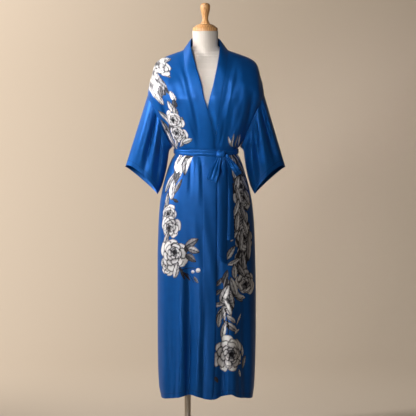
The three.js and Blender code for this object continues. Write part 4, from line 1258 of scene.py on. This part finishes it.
def loop_points(loop):
    (top_x, top_z, top_width), (foot_x, foot_z, foot_width) = loop["top"], loop["foot"]
    angle = np.linspace(0, 2 * np.pi, 110, endpoint=False)[None, :]
    side = np.linspace(-1, 1, 24)[:, None]
    down = (1 - np.cos(angle)) / 2
    half = mix(top_width, foot_width, smooth(down * 1.4)) / 2
    run = math.hypot(foot_x - top_x, foot_z - top_z)
    across = (-(foot_z - top_z) / run, (foot_x - top_x) / run)
    x = top_x + (foot_x - top_x) * down + across[0] * side * half
    z = top_z + (foot_z - top_z) * down + across[1] * side * half
    x = x + loop["drift"] * np.maximum(-np.sin(angle), 0) * down
    middle_x, middle_z = top_x + (foot_x - top_x) * down, top_z + (foot_z - top_z) * down
    hang = skirt_front(middle_x, middle_z) - loop["stand"] - loop["gap"] / 2
    gathers = 1.3 * np.sin(7 * side + 1.2) * (1 - down) ** 0.5
    gathers = gathers * np.sin(np.pi * np.clip(down * 4, 0, 1) / 2)
    spread = loop["gap"] / 2 * np.sin(angle) * mix(0.35, 1, down)
    y = mix(knot_y() - loop["forward"], hang, smooth(down * 1.6)) - spread - gathers
    return np.stack([x, y, z + 0 * y], 2)


def tail_points(tail):
    shape = tail["shape"]
    down = np.linspace(0, 1, 120)[:, None] ** 1.3
    z = mix(shape["z"][-1], shape["z"][0], down)
    side = np.linspace(-1, 1, 18)[None, :]
    x = look_up(shape, "z", z, "x") + side * look_up(shape, "z", z, "width") / 2
    edge_z = z + side * tail["slant"] * down**3 / 2
    y = mix(knot_y() - tail["forward"], skirt_front(x, edge_z) - TAIL_STAND, smooth(down * 6))
    y = y - TAIL_CROWN * np.cos(1.6 * side + 0.2) * (1 + 1.2 * down) * smooth(down * 8)
    return np.stack([x, y, edge_z], 2)


sash = cloth("sash_round_waist", sash_points(), SASH_WALL, plain_satin, wraps=True)
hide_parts("belt")
knot = cloth("sash_knot", knot_points()[:, ::-1], KNOT_WALL, plain_satin, wraps=True)
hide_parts("belt_knot")
for loop in LOOPS:
    points = loop_points(loop)
    piece = cloth("bow_loop_of_sash_" + loop["name"], points, SASH_WALL, plain_satin, wraps=True)
    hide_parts("bow_loop_" + loop["name"])
for tail in TAILS:
    points = tail_points(tail)[:, ::-1]
    piece = cloth("hanging_end_" + tail["name"], points, SASH_WALL, hemmed_satin, edge="last")
    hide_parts("belt_tail_" + tail["name"])

# Studio: a plain pale floor that sweeps up behind, seen through a long lens from a little above.
# A soft key light comes from the wearer's right, two narrow ones lift the chest and the skirt,
# a weak panel fills in from the other side, and one light washes the wall behind.
FLOOR_COLOUR = 0xCABFB1
REACH = 14.0  # metres of paper to each side, and towards the camera
CURVE_START = 2.0  # where the floor begins to rise behind the robe
CURVE = 1.5
WALL_TOP = 6.0
AIR_COLOUR = 0xE8DCCB
AIR_STRENGTH = 0.06
SENSOR = 36
VIEW_DISTANCE = 9.0
VIEW_ELEVATION = math.radians(4)
VIEW_TARGET = Vector((0.0105, 0, 0.887))
VIEW_SPAN = 416 * 0.0039  # metres of the object's plane across the frame: pixels of 3.9 mm


def paper(name):
    """Matt background paper: one even pale colour with the faintest tooth. Its rear lets light and
    sight through, so that the wall doesn't hide the robe's back."""
    material, tree, shader = new_finish(name)
    rear = add(tree, "NewGeometry", {}).outputs["Backfacing"]
    clear = add(tree, "BsdfTransparent", {})
    sided = add(tree, "MixShader", {0: rear, 1: shader, 2: clear})
    output = next(node for node in tree.nodes if node.type == "OUTPUT_MATERIAL")
    fill(tree, output, {"Surface": sided})
    place = add(tree, "TexCoord", {}).outputs["Object"]
    tooth = add(tree, "TexNoise", {"Vector": place, "Scale": 400.0})
    bumps = add(tree, "Bump", {"Height": tooth, "Strength": 0.05, "Distance": 0.0005})
    fill(tree, shader, {"Normal": bumps, "Base Color": linear(FLOOR_COLOUR), "Roughness": 0.9})
    return material


def sweep():
    """The floor and the wall behind it as one sheet with a wide curve between them."""
    profile = [(-REACH, 0.0), (CURVE_START, 0.0)]
    for angle in np.linspace(0.1, 1.57, 14):
        profile.append((CURVE_START + CURVE * math.sin(angle), CURVE - CURVE * math.cos(angle)))
    profile.append((CURVE_START + CURVE, WALL_TOP))
    spots = [(x, y, z) for y, z in profile for x in (-REACH, REACH)]
    faces = [(2 * i, 2 * i + 1, 2 * i + 3, 2 * i + 2) for i in range(len(profile) - 1)]
    mesh = bpy.data.meshes.new("paper_sweep")
    mesh.from_pydata(spots, [], faces)
    mesh.polygons.foreach_set("use_smooth", [True] * len(faces))
    mesh.materials.append(paper("pale_background_paper"))
    piece = bpy.data.objects.new("paper_sweep", mesh)
    bpy.context.scene.collection.objects.link(piece)
    return piece


sweep()


def soft_light(name, place, target, size, power, colour, spread):
    lamp = bpy.data.lights.new(name, "AREA")
    lamp.shape = "RECTANGLE"
    lamp.size, lamp.size_y = size
    lamp.energy = power
    lamp.spread = spread
    lamp.color = linear(colour)[:3]
    light = bpy.data.objects.new(name, lamp)
    light.location = place
    light.rotation_euler = (Vector(target) - Vector(place)).to_track_quat("-Z", "Y").to_euler()
    bpy.context.scene.collection.objects.link(light)


soft_light("key_softbox", (-2.45, -0.9, 1.9), (-0.15, 0, 1.3), (0.45, 0.6), 13, 0xFFFAF4, 1.2)
soft_light("chest_softbox", (-0.8, -2.8, 1.9), (-0.05, 0, 1.35), (0.35, 0.35), 1.15, 0xFFFAF4, 0.36)
soft_light("skirt_softbox", (-1.5, -3.4, 0.75), (0, 0, 0.45), (0.4, 0.4), 0.9, 0xFFF8F0, 0.5)
soft_light("fill_panel", (2.0, -4.4, 1.6), (0, 0, 0.9), (1.6, 2.2), 2.5, 0xFFF8F0, 3.1)
soft_light("rear_wash", (-2.4, 0.9, 2.6), (-0.9, 3.5, 1.3), (2.5, 1.5), 145, 0xFFF6EC, 3.1)

world = bpy.data.worlds.new("studio_air")
world.use_nodes = True
air = world.node_tree.nodes["Background"]
fill(world.node_tree, air, {"Color": linear(AIR_COLOUR), "Strength": AIR_STRENGTH})
bpy.context.scene.world = world
bpy.context.scene.view_settings.view_transform = "Standard"

lens = bpy.data.cameras.new("long_lens")
lens.sensor_width = SENSOR
lens.lens = SENSOR * VIEW_DISTANCE / VIEW_SPAN
camera = bpy.data.objects.new("camera", lens)
back = Vector((0, -math.cos(VIEW_ELEVATION), math.sin(VIEW_ELEVATION)))
camera.location = VIEW_TARGET + back * VIEW_DISTANCE
camera.rotation_euler = (-back).to_track_quat("-Z", "Y").to_euler()
bpy.context.scene.collection.objects.link(camera)
bpy.context.scene.camera = camera
